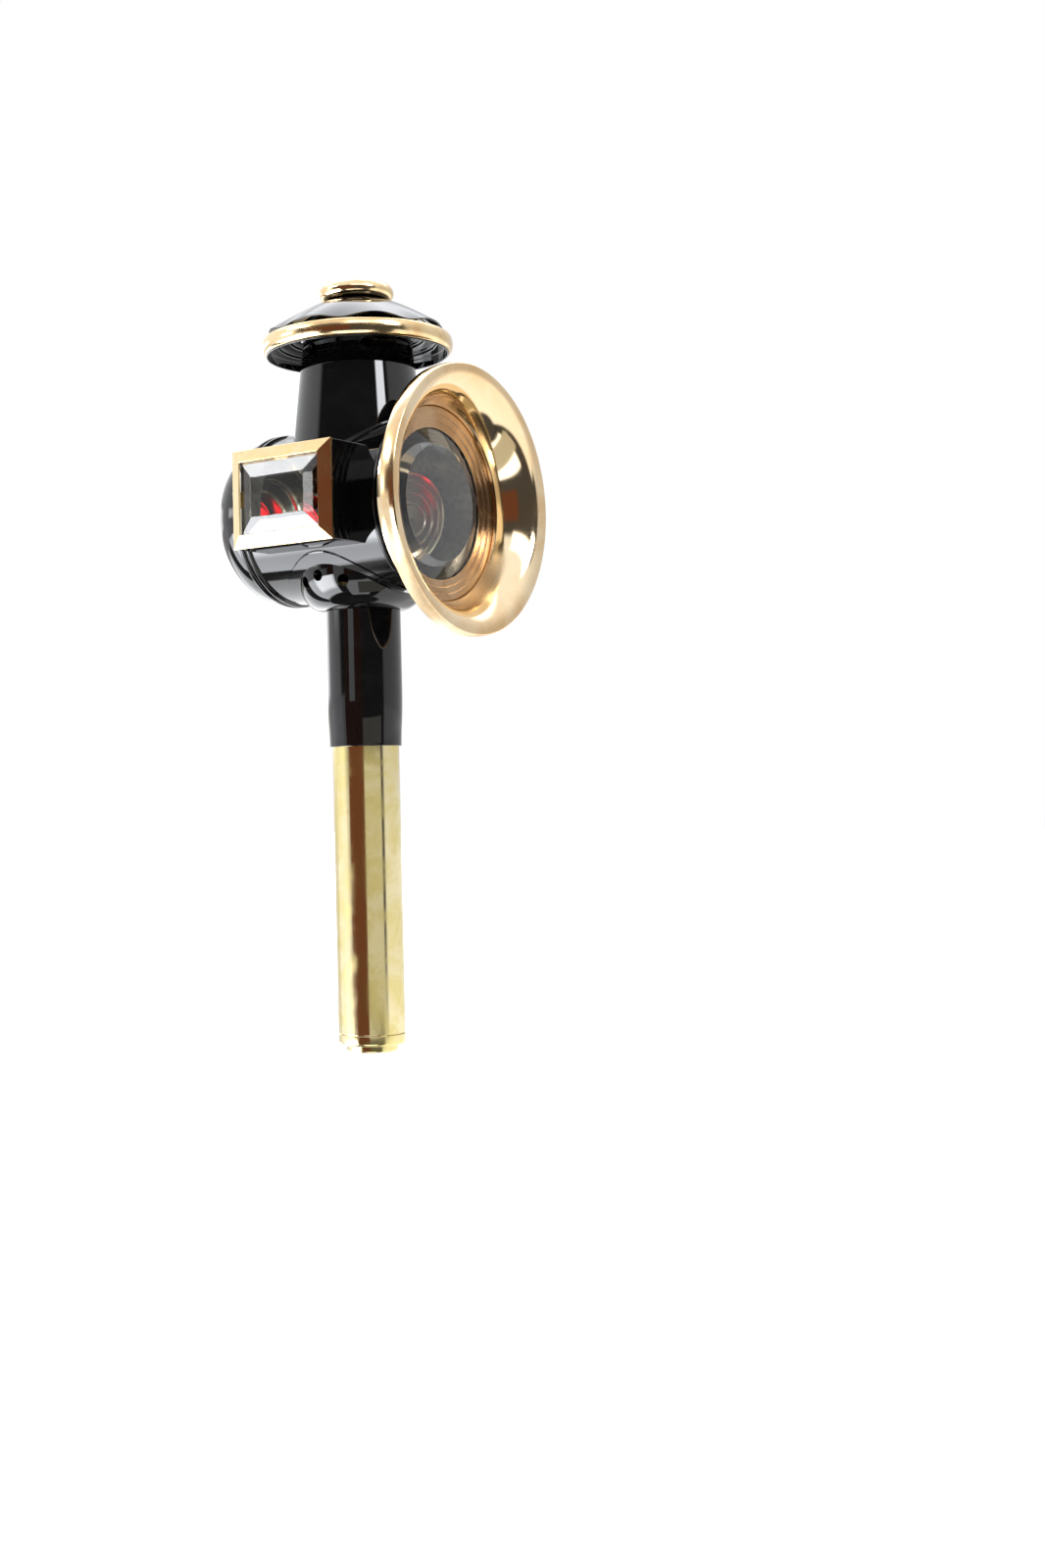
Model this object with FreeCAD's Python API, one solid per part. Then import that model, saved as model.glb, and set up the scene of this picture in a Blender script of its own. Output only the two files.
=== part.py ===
import FreeCAD, Part
import math
import os

# Coach lamp in millimetres, +Z up. The origin is on the stem's axis at the lower edge of the
# black socket. The flare faces -Y, the side window faces -X and the door is hinged at +X.

# Fits
solder_gap = 0.05
seat_gap = 0.1
running_gap = 0.08
free_gap = 0.3
overrun = 5.0

# Brass stem, which drops into the carriage's lamp bracket
stem_radius = 17.0
stem_length = 144.4
stem_wall = 1.2
stem_spigot_step = 0.5
stem_spigot_length = 62.0

# Black socket between the stem and the lamp body
socket_radius = 19.25
socket_height = 69.6
socket_mouth_radius = 18.3
socket_mouth_height = 5.0
socket_taper_height = 20.0
socket_neck_step = 1.05
socket_neck_height = 5.0

# Candle tube that slides up inside the stem, with its cap
tube_wall = 0.7
tube_rise = 4.0
cap_radius = 17.0
cap_height = 5.3
cap_edge_round = 1.5
cap_disc_radius = 13.2
cap_disc_height = 3.5
cap_disc_round = 0.9
cap_floor_depth = 3.3
cap_spigot_height = 10.0
cap_spigot_wall = 0.85

# Nozzle on top of the candle tube
nozzle_spigot_depth = 8.0
nozzle_wall = 0.6
nozzle_flange_height = 1.2
nozzle_dome_height = 10.0
nozzle_hole_radius = 9.6
nozzle_lip_radius = 0.7

# Candle, wick, follower and spring
candle_radius = 14.0
candle_length = 81.5
candle_setback = 1.7
candle_tip_radius = 8.8
candle_shoulder_drop = 10.0
candle_pool_depth = 1.4
wick_radius = 0.9
wick_rise = 5.0
wick_bend_radius = 6.0
wick_bend_angle = 40.0
follower_floor = 1.2
follower_cup_height = 6.0
follower_skirt_height = 4.8
spring_radius = 12.6
spring_wire_radius = 0.7
spring_turns = 13
spring_quarters_per_step = 2

# Lamp body: a drum lying along Y
drum_rise = 6.4
drum_radius = 44.0
drum_front = 43.5
drum_back = 44.0
sheet_wall = 1.0
bead_radius = 1.5
front_bead_setback = 2.2
back_bead_setback = 1.9
drum_floor_hole_radius = 24.0

# Domed back with its red bullseye
dome_skirt = 4.0
dome_bead_setback = 2.0
dome_depth = 30.0
lens_hole_radius = 14.0
lens_radius = 15.5
lens_edge = 4.6
lens_edge_back = 30.6
lens_front_rise = 5.0
lens_back_rise = 6.4
lens_front_radius = 14.4
lens_back_radius = 13.6
rear_bezel_radius = 18.2
rear_bezel_height = 2.9
rear_bezel_edge = 1.2

# Stepped reflector in front of the domed back
reflector_wall = 0.6
reflector_rim_radius = 42.7
reflector_rim_front = 40.0
reflector_rim_flat = 2.0
reflector_ring_radii = [31.0, 23.0, 17.0]
reflector_ring_depths = [9.5, 17.0, 22.5]
reflector_step = 1.4
reflector_throat_radius = 15.9

# Round side reflector on the wall opposite the window
side_dish_radius = 25.0
side_dish_depth = 6.2
side_dish_rings = [10.0, 15.5, 21.0]
side_dish_ring_height = 0.9
side_dish_ring_width = 1.6
side_dish_boss_radius = 3.0

# Bowl under the drum, with its air holes
bowl_radius = 34.0
bowl_foot_radius = 20.0
bowl_straight = 2.1
bowl_lap = 2.0
bowl_flange_width = 4.0
bowl_flange_height = 1.0
air_hole_radius = 2.9
air_hole_rises = [12.8, 16.1, 13.6]
air_hole_angles = [20.0, -4.5, -23.0]

# Chimney
chimney_height = 48.0
chimney_foot_radius = 33.3
chimney_top_radius = 27.7
chimney_wall = 0.9
chimney_flange_width = 4.6
chimney_flange_height = 1.0
vent_hole_radius = 3.3
vent_hole_drop = 10.1
vent_hole_count = 6
vent_first_angle = 45.0

# Canopy over the chimney and its brass ring
canopy_wall = 0.8
canopy_hub_gap = 0.15
canopy_hub_drop = 2.2
canopy_ledge_radii = [35.5, 41.5]
canopy_ledge_height = 1.8
canopy_slope_drop = 0.8
canopy_lip_radius = 47.3
canopy_lip_drop = 10.3
canopy_lip_height = 7.9
canopy_lip_round = 1.5
ring_radius = 49.4
ring_rise = 0.6
ring_height = 8.6
ring_flange_radius = 44.6
ring_flange_wall = 0.7
ring_inner_gap = 0.1

# Scalloped cover on the ring
cover_wall = 0.8
cover_height = 16.3
cover_top_radius = 14.0
cover_rim_radius = 45.6
cover_rim_rise = 2.7
cover_lobe_depth = 1.65
cover_lobes = 8
cover_lobe_angle = 4.3
cover_section_shares = [0.0, 0.15, 0.35, 0.6, 0.8, 1.0, 1.25]
cover_curve_share = 0.72
cover_points_per_lobe = 6

# Brass knob, its stud and nut, and the bridge that carries them
knob_radius = 19.4
knob_height = 10.7
knob_foot_radius = 15.8
knob_widest_rise = 4.0
knob_crown_radius = 8.0
knob_hole_depth = 7.0
stud_radius = 2.4
stud_tail = 2.0
bridge_drop = 4.6
bridge_wall = 1.2
bridge_width = 10.0
bridge_ear_height = 5.6
bridge_angle = 15.0
nut_sides = 6
nut_flats = 8.0
nut_height = 3.6

# Side window: box, frame, bevelled glass and clips
window_centre_y = -0.7
window_rise = 2.75
window_width = 62.0
window_height = 48.7
window_face = 65.0
window_wall = 1.0
frame_edge = 1.2
frame_member = 6.2
frame_rise = 3.0
frame_proud = 0.2
side_glass_lap = 1.0
side_glass_setback = 1.6
side_glass_edge = 2.5
side_glass_bevel = 7.0
side_glass_rise = 2.3
clip_wall = 0.7
clip_width = 8.0
clip_leg = 6.0

# Front door: carrier ring, glass, stepped bezel and brass flare
door_gap = 0.3
door_bead_forward = 1.6
door_front = 47.35
door_inner_radius = 40.9
door_rebate_depth = 0.8
door_sleeve_radius = 41.8
door_sleeve_depth = 1.6
front_glass_radius = 40.6
front_glass_back = 44.0
front_glass_edge = 2.4
front_glass_rise = 3.5
front_glass_bevel_radius = 38.0
front_glass_flat_radius = 29.0
wire_ring_radius = 40.1
wire_radius = 0.7
wire_ring_opening = 24.0
bezel_wall = 0.8
bezel_inner_radius = 38.3
bezel_step_radii = [42.0, 45.5]
bezel_step_height = 0.8
bezel_edge_gap = 0.5
bezel_front = 47.4
flare_wall = 0.75
flare_flange_radius = 46.4
flare_throat_radius = 49.2
flare_throat_round = 0.8
flare_radius = 67.9
flare_front = 70.0
flare_lip_round = 1.6
flare_band = 7.8
flare_return = 1.3
flare_return_round = 0.8

# Hinge on the hidden side
hinge_x = 49.6
knuckle_radius = 2.4
pin_radius = 1.2
pin_head_radius = 1.9
pin_head_height = 0.9
knuckle_length = 8.0
knuckle_gap = 0.3
leaf_wall = 1.3
leaf_half_angle = 16.0
leaf_tail = 10.0
leaf_arm = 1.5

# Rivets
rivet_radius = 1.0
rivet_head_radius = 1.9
rivet_head_height = 0.9
leaf_rivet_angle = 9.0

# Directions and turns
origin = FreeCAD.Vector(0, 0, 0)
x_axis = FreeCAD.Vector(1, 0, 0)
y_axis = FreeCAD.Vector(0, 1, 0)
z_axis = FreeCAD.Vector(0, 0, 1)
full_turn = 360
half_turn = 180
quarter_turn = 90
quarters_per_turn = 4
round_share = 1 - math.sqrt(0.5)

# Sizes that follow from those above
stem_bore = stem_radius - stem_wall
stem_spigot_radius = stem_radius - stem_spigot_step
socket_bore = stem_spigot_radius + solder_gap
socket_neck_radius = socket_radius - socket_neck_step
tube_radius = stem_bore - running_gap
tube_bore = tube_radius - tube_wall
cap_top = -stem_length - free_gap
cap_floor = cap_top - cap_floor_depth
cap_underside = cap_top - cap_height
drum_height = socket_height + drum_rise + drum_radius
drum_bore = drum_radius - sheet_wall
tube_top = drum_height - drum_radius + tube_rise
candle_top = tube_top + nozzle_flange_height + nozzle_dome_height - candle_setback
follower_floor_top = candle_top - candle_length
bowl_foot_height = socket_height + solder_gap
bowl_side_height = drum_height - math.sqrt(drum_radius ** 2 - bowl_radius ** 2)
chimney_foot_height = drum_height + drum_radius
chimney_top = chimney_foot_height + chimney_height
chimney_bore = chimney_foot_radius - chimney_wall
chimney_flange_radius = chimney_foot_radius + chimney_flange_width
canopy_lip_bottom = chimney_top - canopy_lip_drop
canopy_lip_top = canopy_lip_bottom + canopy_lip_height
ring_bottom = canopy_lip_bottom + ring_rise
ring_top = ring_bottom + ring_height
cover_rim_height = ring_top + cover_rim_rise
cover_top = cover_rim_height + cover_height
knob_bottom = cover_top + seat_gap
knob_top = knob_bottom + knob_height
bridge_top = chimney_top - bridge_drop
nut_top = bridge_top - bridge_wall - seat_gap
window_centre_z = drum_height + window_rise
front_bead_y = -drum_front + front_bead_setback
back_bead_y = drum_back - back_bead_setback
dome_centre = drum_back + dome_skirt
lens_front_y = dome_centre + lens_edge_back - lens_edge - dome_skirt
door_back = drum_front + door_gap
door_bead_y = -door_back - door_bead_forward
hinge_y = -(drum_front + door_gap / 2)
box_end = window_face - frame_edge
bezel_outer_radius = flare_throat_radius - bezel_edge_gap
door_rebate_radius = bezel_step_radii[0] + bezel_wall / 2 + seat_gap


def at(radius, height):
    """A point of an outline: its distance from the axis and its place along it."""
    return FreeCAD.Vector(radius, 0, height)


def lines(*points):
    """Straight edges through the points in turn."""
    return [Part.LineSegment(at(*a), at(*b)).toShape() for a, b in zip(points, points[1:])]


def arc(start, middle, end):
    """A circular edge through three points."""
    return [Part.Arc(at(*start), at(*middle), at(*end)).toShape()]


def rounded(start, corner, end):
    """A quarter circle in place of a square corner."""
    middle = [c + ((s - c) + (e - c)) * round_share for s, c, e in zip(start, corner, end)]
    return arc(start, middle, end)


def quarter_oval(start, corner, end):
    """A quarter of an oval that leaves start and reaches end heading along the corner's legs."""
    curve = Part.BezierCurve()
    curve.setPoles([at(*start), at(*corner), at(*end)])
    curve.setWeight(2, math.sqrt(0.5))
    return [curve.toShape()]


def turned(edges):
    """A solid turned about the Z axis from a closed outline."""
    return Part.Face(Part.Wire(edges)).revolve(origin, z_axis, full_turn)


def turned_polygon(*points):
    return turned(lines(*points, points[0]))


def along_drum(shape):
    """Lay a piece turned about Z along the drum's axis: its height becomes its y."""
    laid = shape.copy()
    laid.rotate(origin, x_axis, -quarter_turn)
    laid.translate(z_axis * drum_height)
    return laid


def across_drum(shape):
    """Lay a piece turned about Z across the drum: its height becomes its x."""
    laid = shape.copy()
    laid.rotate(origin, y_axis, quarter_turn)
    laid.translate(z_axis * drum_height)
    return laid


def block(low, high):
    """A box between two corners."""
    size = [b - a for a, b in zip(low, high)]
    return Part.makeBox(*size, FreeCAD.Vector(*low))


def post(radius, low, high, x=0, y=0):
    """A round bar standing on the plane z = low."""
    return Part.makeCylinder(radius, high - low, FreeCAD.Vector(x, y, low))


def turn_about_stem(shape, angle):
    moved = shape.copy()
    moved.rotate(origin, z_axis, angle)
    return moved


def bead(centre, radius=drum_radius, step=1):
    """The half-round outline of a raised bead, passed in the direction of step."""
    low, high = centre - step * bead_radius, centre + step * bead_radius
    return arc((radius, low), (radius + bead_radius, centre), (radius, high))


def drum_block(clearance=0.0):
    """The space the drum fills, for trimming what sits on it."""
    radius = drum_radius + clearance
    half = flare_front
    return along_drum(post(radius, -half, half))


def rivet(place, direction, length):
    """A snap-head rivet whose head stands on place and whose shank runs against direction."""
    shank = Part.makeCylinder(rivet_radius, length, origin, -z_axis)
    crown = turned(lines((0, rivet_head_height), (0, 0), (rivet_head_radius, 0))
                   + quarter_oval((rivet_head_radius, 0), (rivet_head_radius, rivet_head_height),
                                  (0, rivet_head_height)))
    solid = shank.fuse(crown)
    solid.Placement = FreeCAD.Placement(place, FreeCAD.Rotation(z_axis, direction))
    return solid


# Stem and socket

def make_stem_tube():
    return turned_polygon((stem_radius, -stem_length), (stem_radius, 0), (stem_spigot_radius, 0),
                          (stem_spigot_radius, stem_spigot_length), (stem_bore, stem_spigot_length),
                          (stem_bore, -stem_length))


def make_stem_socket():
    neck_top = socket_height + socket_neck_height
    return turned_polygon((socket_mouth_radius, 0), (socket_mouth_radius, socket_mouth_height),
                          (socket_radius, socket_taper_height), (socket_radius, socket_height),
                          (socket_neck_radius, socket_height), (socket_neck_radius, neck_top),
                          (socket_bore, neck_top), (socket_bore, 0))


# Candle tube and what it holds

def make_candle_tube():
    return turned_polygon((tube_radius, cap_top), (tube_radius, tube_top),
                          (tube_bore, tube_top), (tube_bore, cap_top))


def make_end_cap():
    disc_bottom = cap_underside - cap_disc_height
    spigot = tube_bore - solder_gap
    bore = spigot - cap_spigot_wall
    spigot_top = cap_top + cap_spigot_height
    edges = lines((0, cap_floor), (0, disc_bottom), (cap_disc_radius - cap_disc_round, disc_bottom))
    edges += rounded((cap_disc_radius - cap_disc_round, disc_bottom), (cap_disc_radius, disc_bottom),
                     (cap_disc_radius, disc_bottom + cap_disc_round))
    edges += lines((cap_disc_radius, disc_bottom + cap_disc_round), (cap_disc_radius, cap_underside),
                   (cap_radius - cap_edge_round, cap_underside))
    edges += rounded((cap_radius - cap_edge_round, cap_underside), (cap_radius, cap_underside),
                     (cap_radius, cap_underside + cap_edge_round))
    edges += lines((cap_radius, cap_underside + cap_edge_round), (cap_radius, cap_top),
                   (spigot, cap_top), (spigot, spigot_top), (bore, spigot_top),
                   (bore, cap_floor), (0, cap_floor))
    return turned(edges)


def make_candle_nozzle():
    spigot = tube_bore - running_gap
    bore = spigot - nozzle_wall
    flange = tube_radius - free_gap
    dome_bottom = tube_top + nozzle_flange_height
    dome_top = dome_bottom + nozzle_dome_height
    lip = nozzle_hole_radius + nozzle_lip_radius
    edges = lines((bore, tube_top - nozzle_spigot_depth), (spigot, tube_top - nozzle_spigot_depth),
                  (spigot, tube_top), (flange, tube_top), (flange, dome_bottom))
    edges += quarter_oval((flange, dome_bottom), (flange, dome_top - nozzle_lip_radius),
                          (lip + nozzle_lip_radius, dome_top - nozzle_lip_radius))
    edges += arc((lip + nozzle_lip_radius, dome_top - nozzle_lip_radius), (lip, dome_top),
                 (nozzle_hole_radius, dome_top - nozzle_lip_radius))
    edges += lines((nozzle_hole_radius, dome_top - nozzle_lip_radius),
                   (nozzle_hole_radius, dome_top - nozzle_lip_radius - nozzle_wall))
    edges += quarter_oval((nozzle_hole_radius, dome_top - nozzle_lip_radius - nozzle_wall),
                          (bore, dome_top - nozzle_lip_radius - nozzle_wall), (bore, dome_bottom))
    edges += lines((bore, dome_bottom), (bore, tube_top - nozzle_spigot_depth))
    return turned(edges)


def make_candle():
    shoulder = candle_top - candle_shoulder_drop
    hole = wick_radius + solder_gap
    pool = candle_top - candle_pool_depth
    edges = lines((hole, follower_floor_top), (candle_radius, follower_floor_top),
                  (candle_radius, shoulder), (candle_tip_radius, candle_top))
    edges += quarter_oval((candle_tip_radius, candle_top), (candle_tip_radius, pool), (hole, pool))
    edges += lines((hole, pool), (hole, follower_floor_top))
    return turned(edges)


def make_wick():
    bend_start = candle_top + wick_rise
    angle = math.radians(wick_bend_angle)
    half = angle / 2
    centre_x = -wick_bend_radius

    def on_bend(turn):
        return FreeCAD.Vector(centre_x + wick_bend_radius * math.cos(turn), 0,
                              bend_start + wick_bend_radius * math.sin(turn))

    foot = FreeCAD.Vector(0, 0, follower_floor_top + seat_gap)
    rise = Part.LineSegment(foot, on_bend(0)).toShape()
    bend = Part.Arc(on_bend(0), on_bend(half), on_bend(angle)).toShape()
    section = Part.Wire(Part.makeCircle(wick_radius, foot, z_axis))
    return Part.Wire([rise, bend]).makePipeShell([section], True, False)


def make_candle_follower():
    outer = tube_bore - free_gap
    inner = candle_radius + seat_gap
    floor_bottom = follower_floor_top - follower_floor
    skirt_bottom = floor_bottom - follower_skirt_height
    cup_top = follower_floor_top + follower_cup_height
    return turned_polygon((0, floor_bottom), (inner, floor_bottom), (inner, skirt_bottom),
                          (outer, skirt_bottom), (outer, cup_top), (inner, cup_top),
                          (inner, follower_floor_top), (0, follower_floor_top))


def double_arc(start, start_way, end, end_way):
    """Two arcs that join two points of a coil and keep its direction at both."""
    across = end - start
    both = start_way + end_way
    a = 4 - both.dot(both)
    b = 2 * across.dot(both)
    c = -across.dot(across)
    reach = (-b + math.sqrt(b * b - 4 * a * c)) / (2 * a)
    first_corner = start + start_way * reach
    second_corner = end - end_way * reach
    joint = (first_corner + second_corner) / 2
    edges = []
    for one, corner, other in ((start, first_corner, joint), (joint, second_corner, end)):
        weight = (other - one).Length / 2 / reach
        middle = (one + other + corner * 2 * weight) / (2 + 2 * weight)
        edges.append(Part.Arc(one, middle, other).toShape())
    return edges


def make_candle_spring():
    low = cap_floor + spring_wire_radius + seat_gap
    high = follower_floor_top - follower_floor - spring_wire_radius - seat_gap
    steps = spring_turns * quarters_per_turn // spring_quarters_per_step
    step_angle = 2 * math.pi * spring_turns / steps
    climb = (high - low) / (2 * math.pi * spring_turns)
    points, ways = [], []
    for number in range(steps + 1):
        angle = number * step_angle
        points.append(FreeCAD.Vector(spring_radius * math.cos(angle), spring_radius * math.sin(angle),
                                     low + climb * angle))
        way = FreeCAD.Vector(-spring_radius * math.sin(angle), spring_radius * math.cos(angle), climb)
        ways.append(way.normalize())
    edges = []
    for number in range(steps):
        edges += double_arc(points[number], ways[number], points[number + 1], ways[number + 1])
    section = Part.Wire(Part.makeCircle(spring_wire_radius, points[0], ways[0]))
    gap = 2 * math.pi * climb - 2 * spring_wire_radius
    print("candle spring: least gap between turns %.2f mm" % gap)
    return Part.Wire(edges).makePipeShell([section], True, False)


# Lamp body

def make_drum_shell():
    edges = lines((drum_bore, drum_back), (drum_bore, -drum_front), (drum_radius, -drum_front),
                  (drum_radius, front_bead_y - bead_radius))
    edges += bead(front_bead_y)
    edges += lines((drum_radius, front_bead_y + bead_radius), (drum_radius, back_bead_y - bead_radius))
    edges += bead(back_bead_y)
    edges += lines((drum_radius, back_bead_y + bead_radius), (drum_radius, drum_back),
                   (drum_bore, drum_back))
    shell = along_drum(turned(edges))
    shell = shell.cut(post(chimney_bore, drum_height, drum_height + drum_radius + overrun))
    floor_top = drum_height - drum_radius / 2
    shell = shell.cut(post(drum_floor_hole_radius, drum_height - drum_radius - overrun, floor_top))
    half_width = window_width / 2 - window_wall
    half_height = window_height / 2 - window_wall
    opening = block((-drum_radius - overrun, window_centre_y - half_width, window_centre_z - half_height),
                    (-drum_radius / 2, window_centre_y + half_width, window_centre_z + half_height))
    return shell.cut(opening)


def dome_back(radius, wall=0.0):
    """Where the domed back lies along y at a distance from its axis."""
    share = radius / (drum_radius - wall)
    return dome_centre + (dome_depth - wall) * math.sqrt(1 - share * share)


def make_rear_dome():
    bead_y = drum_back + dome_bead_setback
    back = dome_centre + dome_depth
    edges = lines((drum_bore, dome_centre), (drum_bore, drum_back), (drum_radius, drum_back),
                  (drum_radius, bead_y - bead_radius))
    edges += bead(bead_y)
    edges += lines((drum_radius, bead_y + bead_radius), (drum_radius, dome_centre))
    edges += quarter_oval((drum_radius, dome_centre), (drum_radius, back), (0, back))
    edges += lines((0, back), (0, back - sheet_wall))
    edges += quarter_oval((0, back - sheet_wall), (drum_bore, back - sheet_wall),
                          (drum_bore, dome_centre))
    dome = turned(edges).cut(post(lens_hole_radius, dome_centre, back + overrun))
    return along_drum(dome)


def make_red_lens():
    edge_back = lens_front_y + lens_edge
    front = turned_dome(lens_front_radius, lens_front_y, -lens_front_rise)
    back = turned_dome(lens_back_radius, edge_back, lens_back_rise)
    middle = post(lens_radius, lens_front_y, edge_back)
    return along_drum(middle.fuse([front, back]).removeSplitter())


def turned_dome(radius, base, rise):
    """A round cap of a ball on the plane at base, rising along the axis, or sinking."""
    ball = (radius * radius + rise * rise) / (2 * abs(rise))
    way = math.copysign(1, rise)
    half = math.asin(radius / ball) / 2
    centre = base + rise - way * ball
    edges = lines((0, base + rise), (0, base), (radius, base))
    edges += arc((radius, base), (ball * math.sin(half), centre + way * ball * math.cos(half)),
                 (0, base + rise))
    return turned(edges)


def make_rear_bezel():
    inner_base = dome_back(lens_hole_radius) + seat_gap
    outer_base = dome_back(rear_bezel_radius) + seat_gap
    top = inner_base + rear_bezel_height
    edges = lines((lens_hole_radius, inner_base), (rear_bezel_radius, outer_base),
                  (rear_bezel_radius, outer_base + rear_bezel_edge))
    edges += quarter_oval((rear_bezel_radius, outer_base + rear_bezel_edge), (rear_bezel_radius, top),
                          (lens_hole_radius + rear_bezel_edge, top))
    edges += lines((lens_hole_radius + rear_bezel_edge, top), (lens_hole_radius, top - rear_bezel_edge),
                   (lens_hole_radius, inner_base))
    return along_drum(turned(edges))


def make_rear_reflector():
    """Concave rings that step back to the lens, with a flat rim against the drum's wall."""
    wall = reflector_wall
    rim_back = reflector_rim_front + reflector_rim_flat
    front = [(reflector_rim_radius - wall, reflector_rim_front), (reflector_rim_radius - wall, rim_back)]
    for radius, depth in zip(reflector_ring_radii, reflector_ring_depths):
        front.append((radius, reflector_rim_front + depth))
        front.append((radius, reflector_rim_front + depth + reflector_step))
    front.append((reflector_throat_radius, lens_front_y - seat_gap - wall))
    back = [(radius + wall, y + wall) for radius, y in reversed(front[1:])]
    throat_back = lens_front_y - seat_gap
    back[0] = (reflector_throat_radius + wall, throat_back)
    return along_drum(turned_polygon(*front, (reflector_throat_radius, throat_back), *back,
                                     (reflector_rim_radius, reflector_rim_front)))


def make_side_reflector():
    """A shallow dish with pressed ridges that faces the window from the far wall."""
    wall = reflector_wall
    rim_x = math.sqrt((drum_bore - seat_gap) ** 2 - side_dish_radius ** 2) - wall
    ball = (side_dish_radius ** 2 + side_dish_depth ** 2) / (2 * side_dish_depth)
    centre = rim_x + side_dish_depth - ball

    def dish(radius):
        return centre + math.sqrt(ball ** 2 - radius ** 2)

    hole = rivet_radius + solder_gap
    front = [(hole, dish(hole)), (side_dish_boss_radius, dish(side_dish_boss_radius))]
    for radius in side_dish_rings:
        inner = radius - side_dish_ring_width
        middle = radius - side_dish_ring_width / 2
        front += [(inner, dish(inner)), (middle, dish(middle) - side_dish_ring_height),
                  (radius, dish(radius))]
    front.append((side_dish_radius, rim_x))
    back = [(radius, x + wall) for radius, x in reversed(front[1:])]
    boss_back = drum_bore - seat_gap
    back += [(side_dish_boss_radius, boss_back), (hole, boss_back)]
    return across_drum(turned_polygon(*front, *back))


def make_bottom_bowl():
    """A rounded cup between socket and drum, with air holes and a flange soldered to the drum."""
    foot, wall = bowl_foot_height, sheet_wall
    shoulder = bowl_side_height - bowl_straight
    top = bowl_side_height + bowl_lap
    hole = socket_neck_radius + solder_gap
    inner = bowl_radius - wall
    edges = lines((hole, foot), (bowl_foot_radius, foot))
    edges += quarter_oval((bowl_foot_radius, foot), (bowl_radius, foot), (bowl_radius, shoulder))
    edges += lines((bowl_radius, shoulder), (bowl_radius, top), (inner, top), (inner, shoulder))
    edges += quarter_oval((inner, shoulder), (inner, foot + wall), (bowl_foot_radius, foot + wall))
    edges += lines((bowl_foot_radius, foot + wall), (hole, foot + wall), (hole, foot))
    flange = post(bowl_radius + bowl_flange_width, foot, drum_height).cut(post(inner, foot, drum_height))
    bowl = turned(edges).fuse(flange.common(drum_block(bowl_flange_height)))
    bowl = bowl.cut(drum_block(solder_gap))
    for rise, angle in zip(air_hole_rises, air_hole_angles):
        drill = Part.makeCylinder(air_hole_radius, bowl_radius + overrun, z_axis * (foot + rise), x_axis)
        for side in (0, half_turn):
            bowl = bowl.cut(turn_about_stem(drill, side + angle))
    return bowl


# Chimney, canopy and cover

def chimney_radius(height):
    """The chimney's outer radius at a height."""
    share = (height - chimney_foot_height) / chimney_height
    return chimney_foot_radius + (chimney_top_radius - chimney_foot_radius) * share


def make_chimney():
    low = drum_height + drum_radius / 2
    low_radius = chimney_radius(low)
    tube = turned_polygon((low_radius, low), (chimney_top_radius, chimney_top),
                          (chimney_top_radius - chimney_wall, chimney_top),
                          (low_radius - chimney_wall, low))
    flange_top = chimney_foot_height + overrun
    flange = post(chimney_flange_radius, low, flange_top).cut(post(chimney_bore, low, flange_top))
    flange = flange.common(drum_block(chimney_flange_height))
    solid = tube.fuse(flange).cut(drum_block(solder_gap))
    drill = Part.makeCylinder(vent_hole_radius, chimney_foot_radius + overrun,
                              z_axis * (chimney_top - vent_hole_drop), x_axis)
    for number in range(vent_hole_count):
        angle = vent_first_angle + number * full_turn / vent_hole_count
        solid = solid.cut(turn_about_stem(drill, angle))
    return solid


def make_canopy():
    """A pressed dish that steps down from the chimney's mouth to a turned lip."""
    wall = canopy_wall
    collar = chimney_top - canopy_hub_drop
    hub = chimney_radius(collar) + canopy_hub_gap
    height = chimney_top + wall
    top = [(hub, height), (canopy_ledge_radii[0], height - canopy_slope_drop)]
    height = height - canopy_slope_drop - canopy_ledge_height
    top += [(canopy_ledge_radii[0], height), (canopy_ledge_radii[1], height - canopy_slope_drop)]
    height = height - canopy_slope_drop - canopy_ledge_height
    lip_root = canopy_lip_radius - canopy_lip_round - wall
    top += [(canopy_ledge_radii[1], height), (lip_root, height)]
    under = [(radius - wall, z - wall) for radius, z in reversed(top[1:])]
    under[0] = (canopy_lip_radius - wall, height - wall)
    edges = lines(*top, (lip_root, canopy_lip_top - canopy_lip_round))
    edges += rounded((lip_root, canopy_lip_top - canopy_lip_round), (lip_root, canopy_lip_top),
                     (lip_root + canopy_lip_round, canopy_lip_top))
    edges += lines((lip_root + canopy_lip_round, canopy_lip_top), (canopy_lip_radius, canopy_lip_top),
                   (canopy_lip_radius, canopy_lip_bottom),
                   (canopy_lip_radius - wall, canopy_lip_bottom), *under,
                   (hub + wall, chimney_top), (hub + wall, collar), (hub, collar), top[0])
    return turned(edges)


def make_canopy_ring():
    inner = canopy_lip_radius + ring_inner_gap
    middle = (ring_bottom + ring_top) / 2
    under = canopy_lip_top + ring_inner_gap
    wall = ring_flange_wall
    edges = quarter_oval((inner, ring_bottom), (ring_radius, ring_bottom), (ring_radius, middle))
    edges += quarter_oval((ring_radius, middle), (ring_radius, ring_top), (inner, ring_top))
    edges += lines((inner, ring_top), (ring_flange_radius, under + wall), (ring_flange_radius, under),
                   (inner, under), (inner, ring_bottom))
    return turned(edges)


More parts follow.
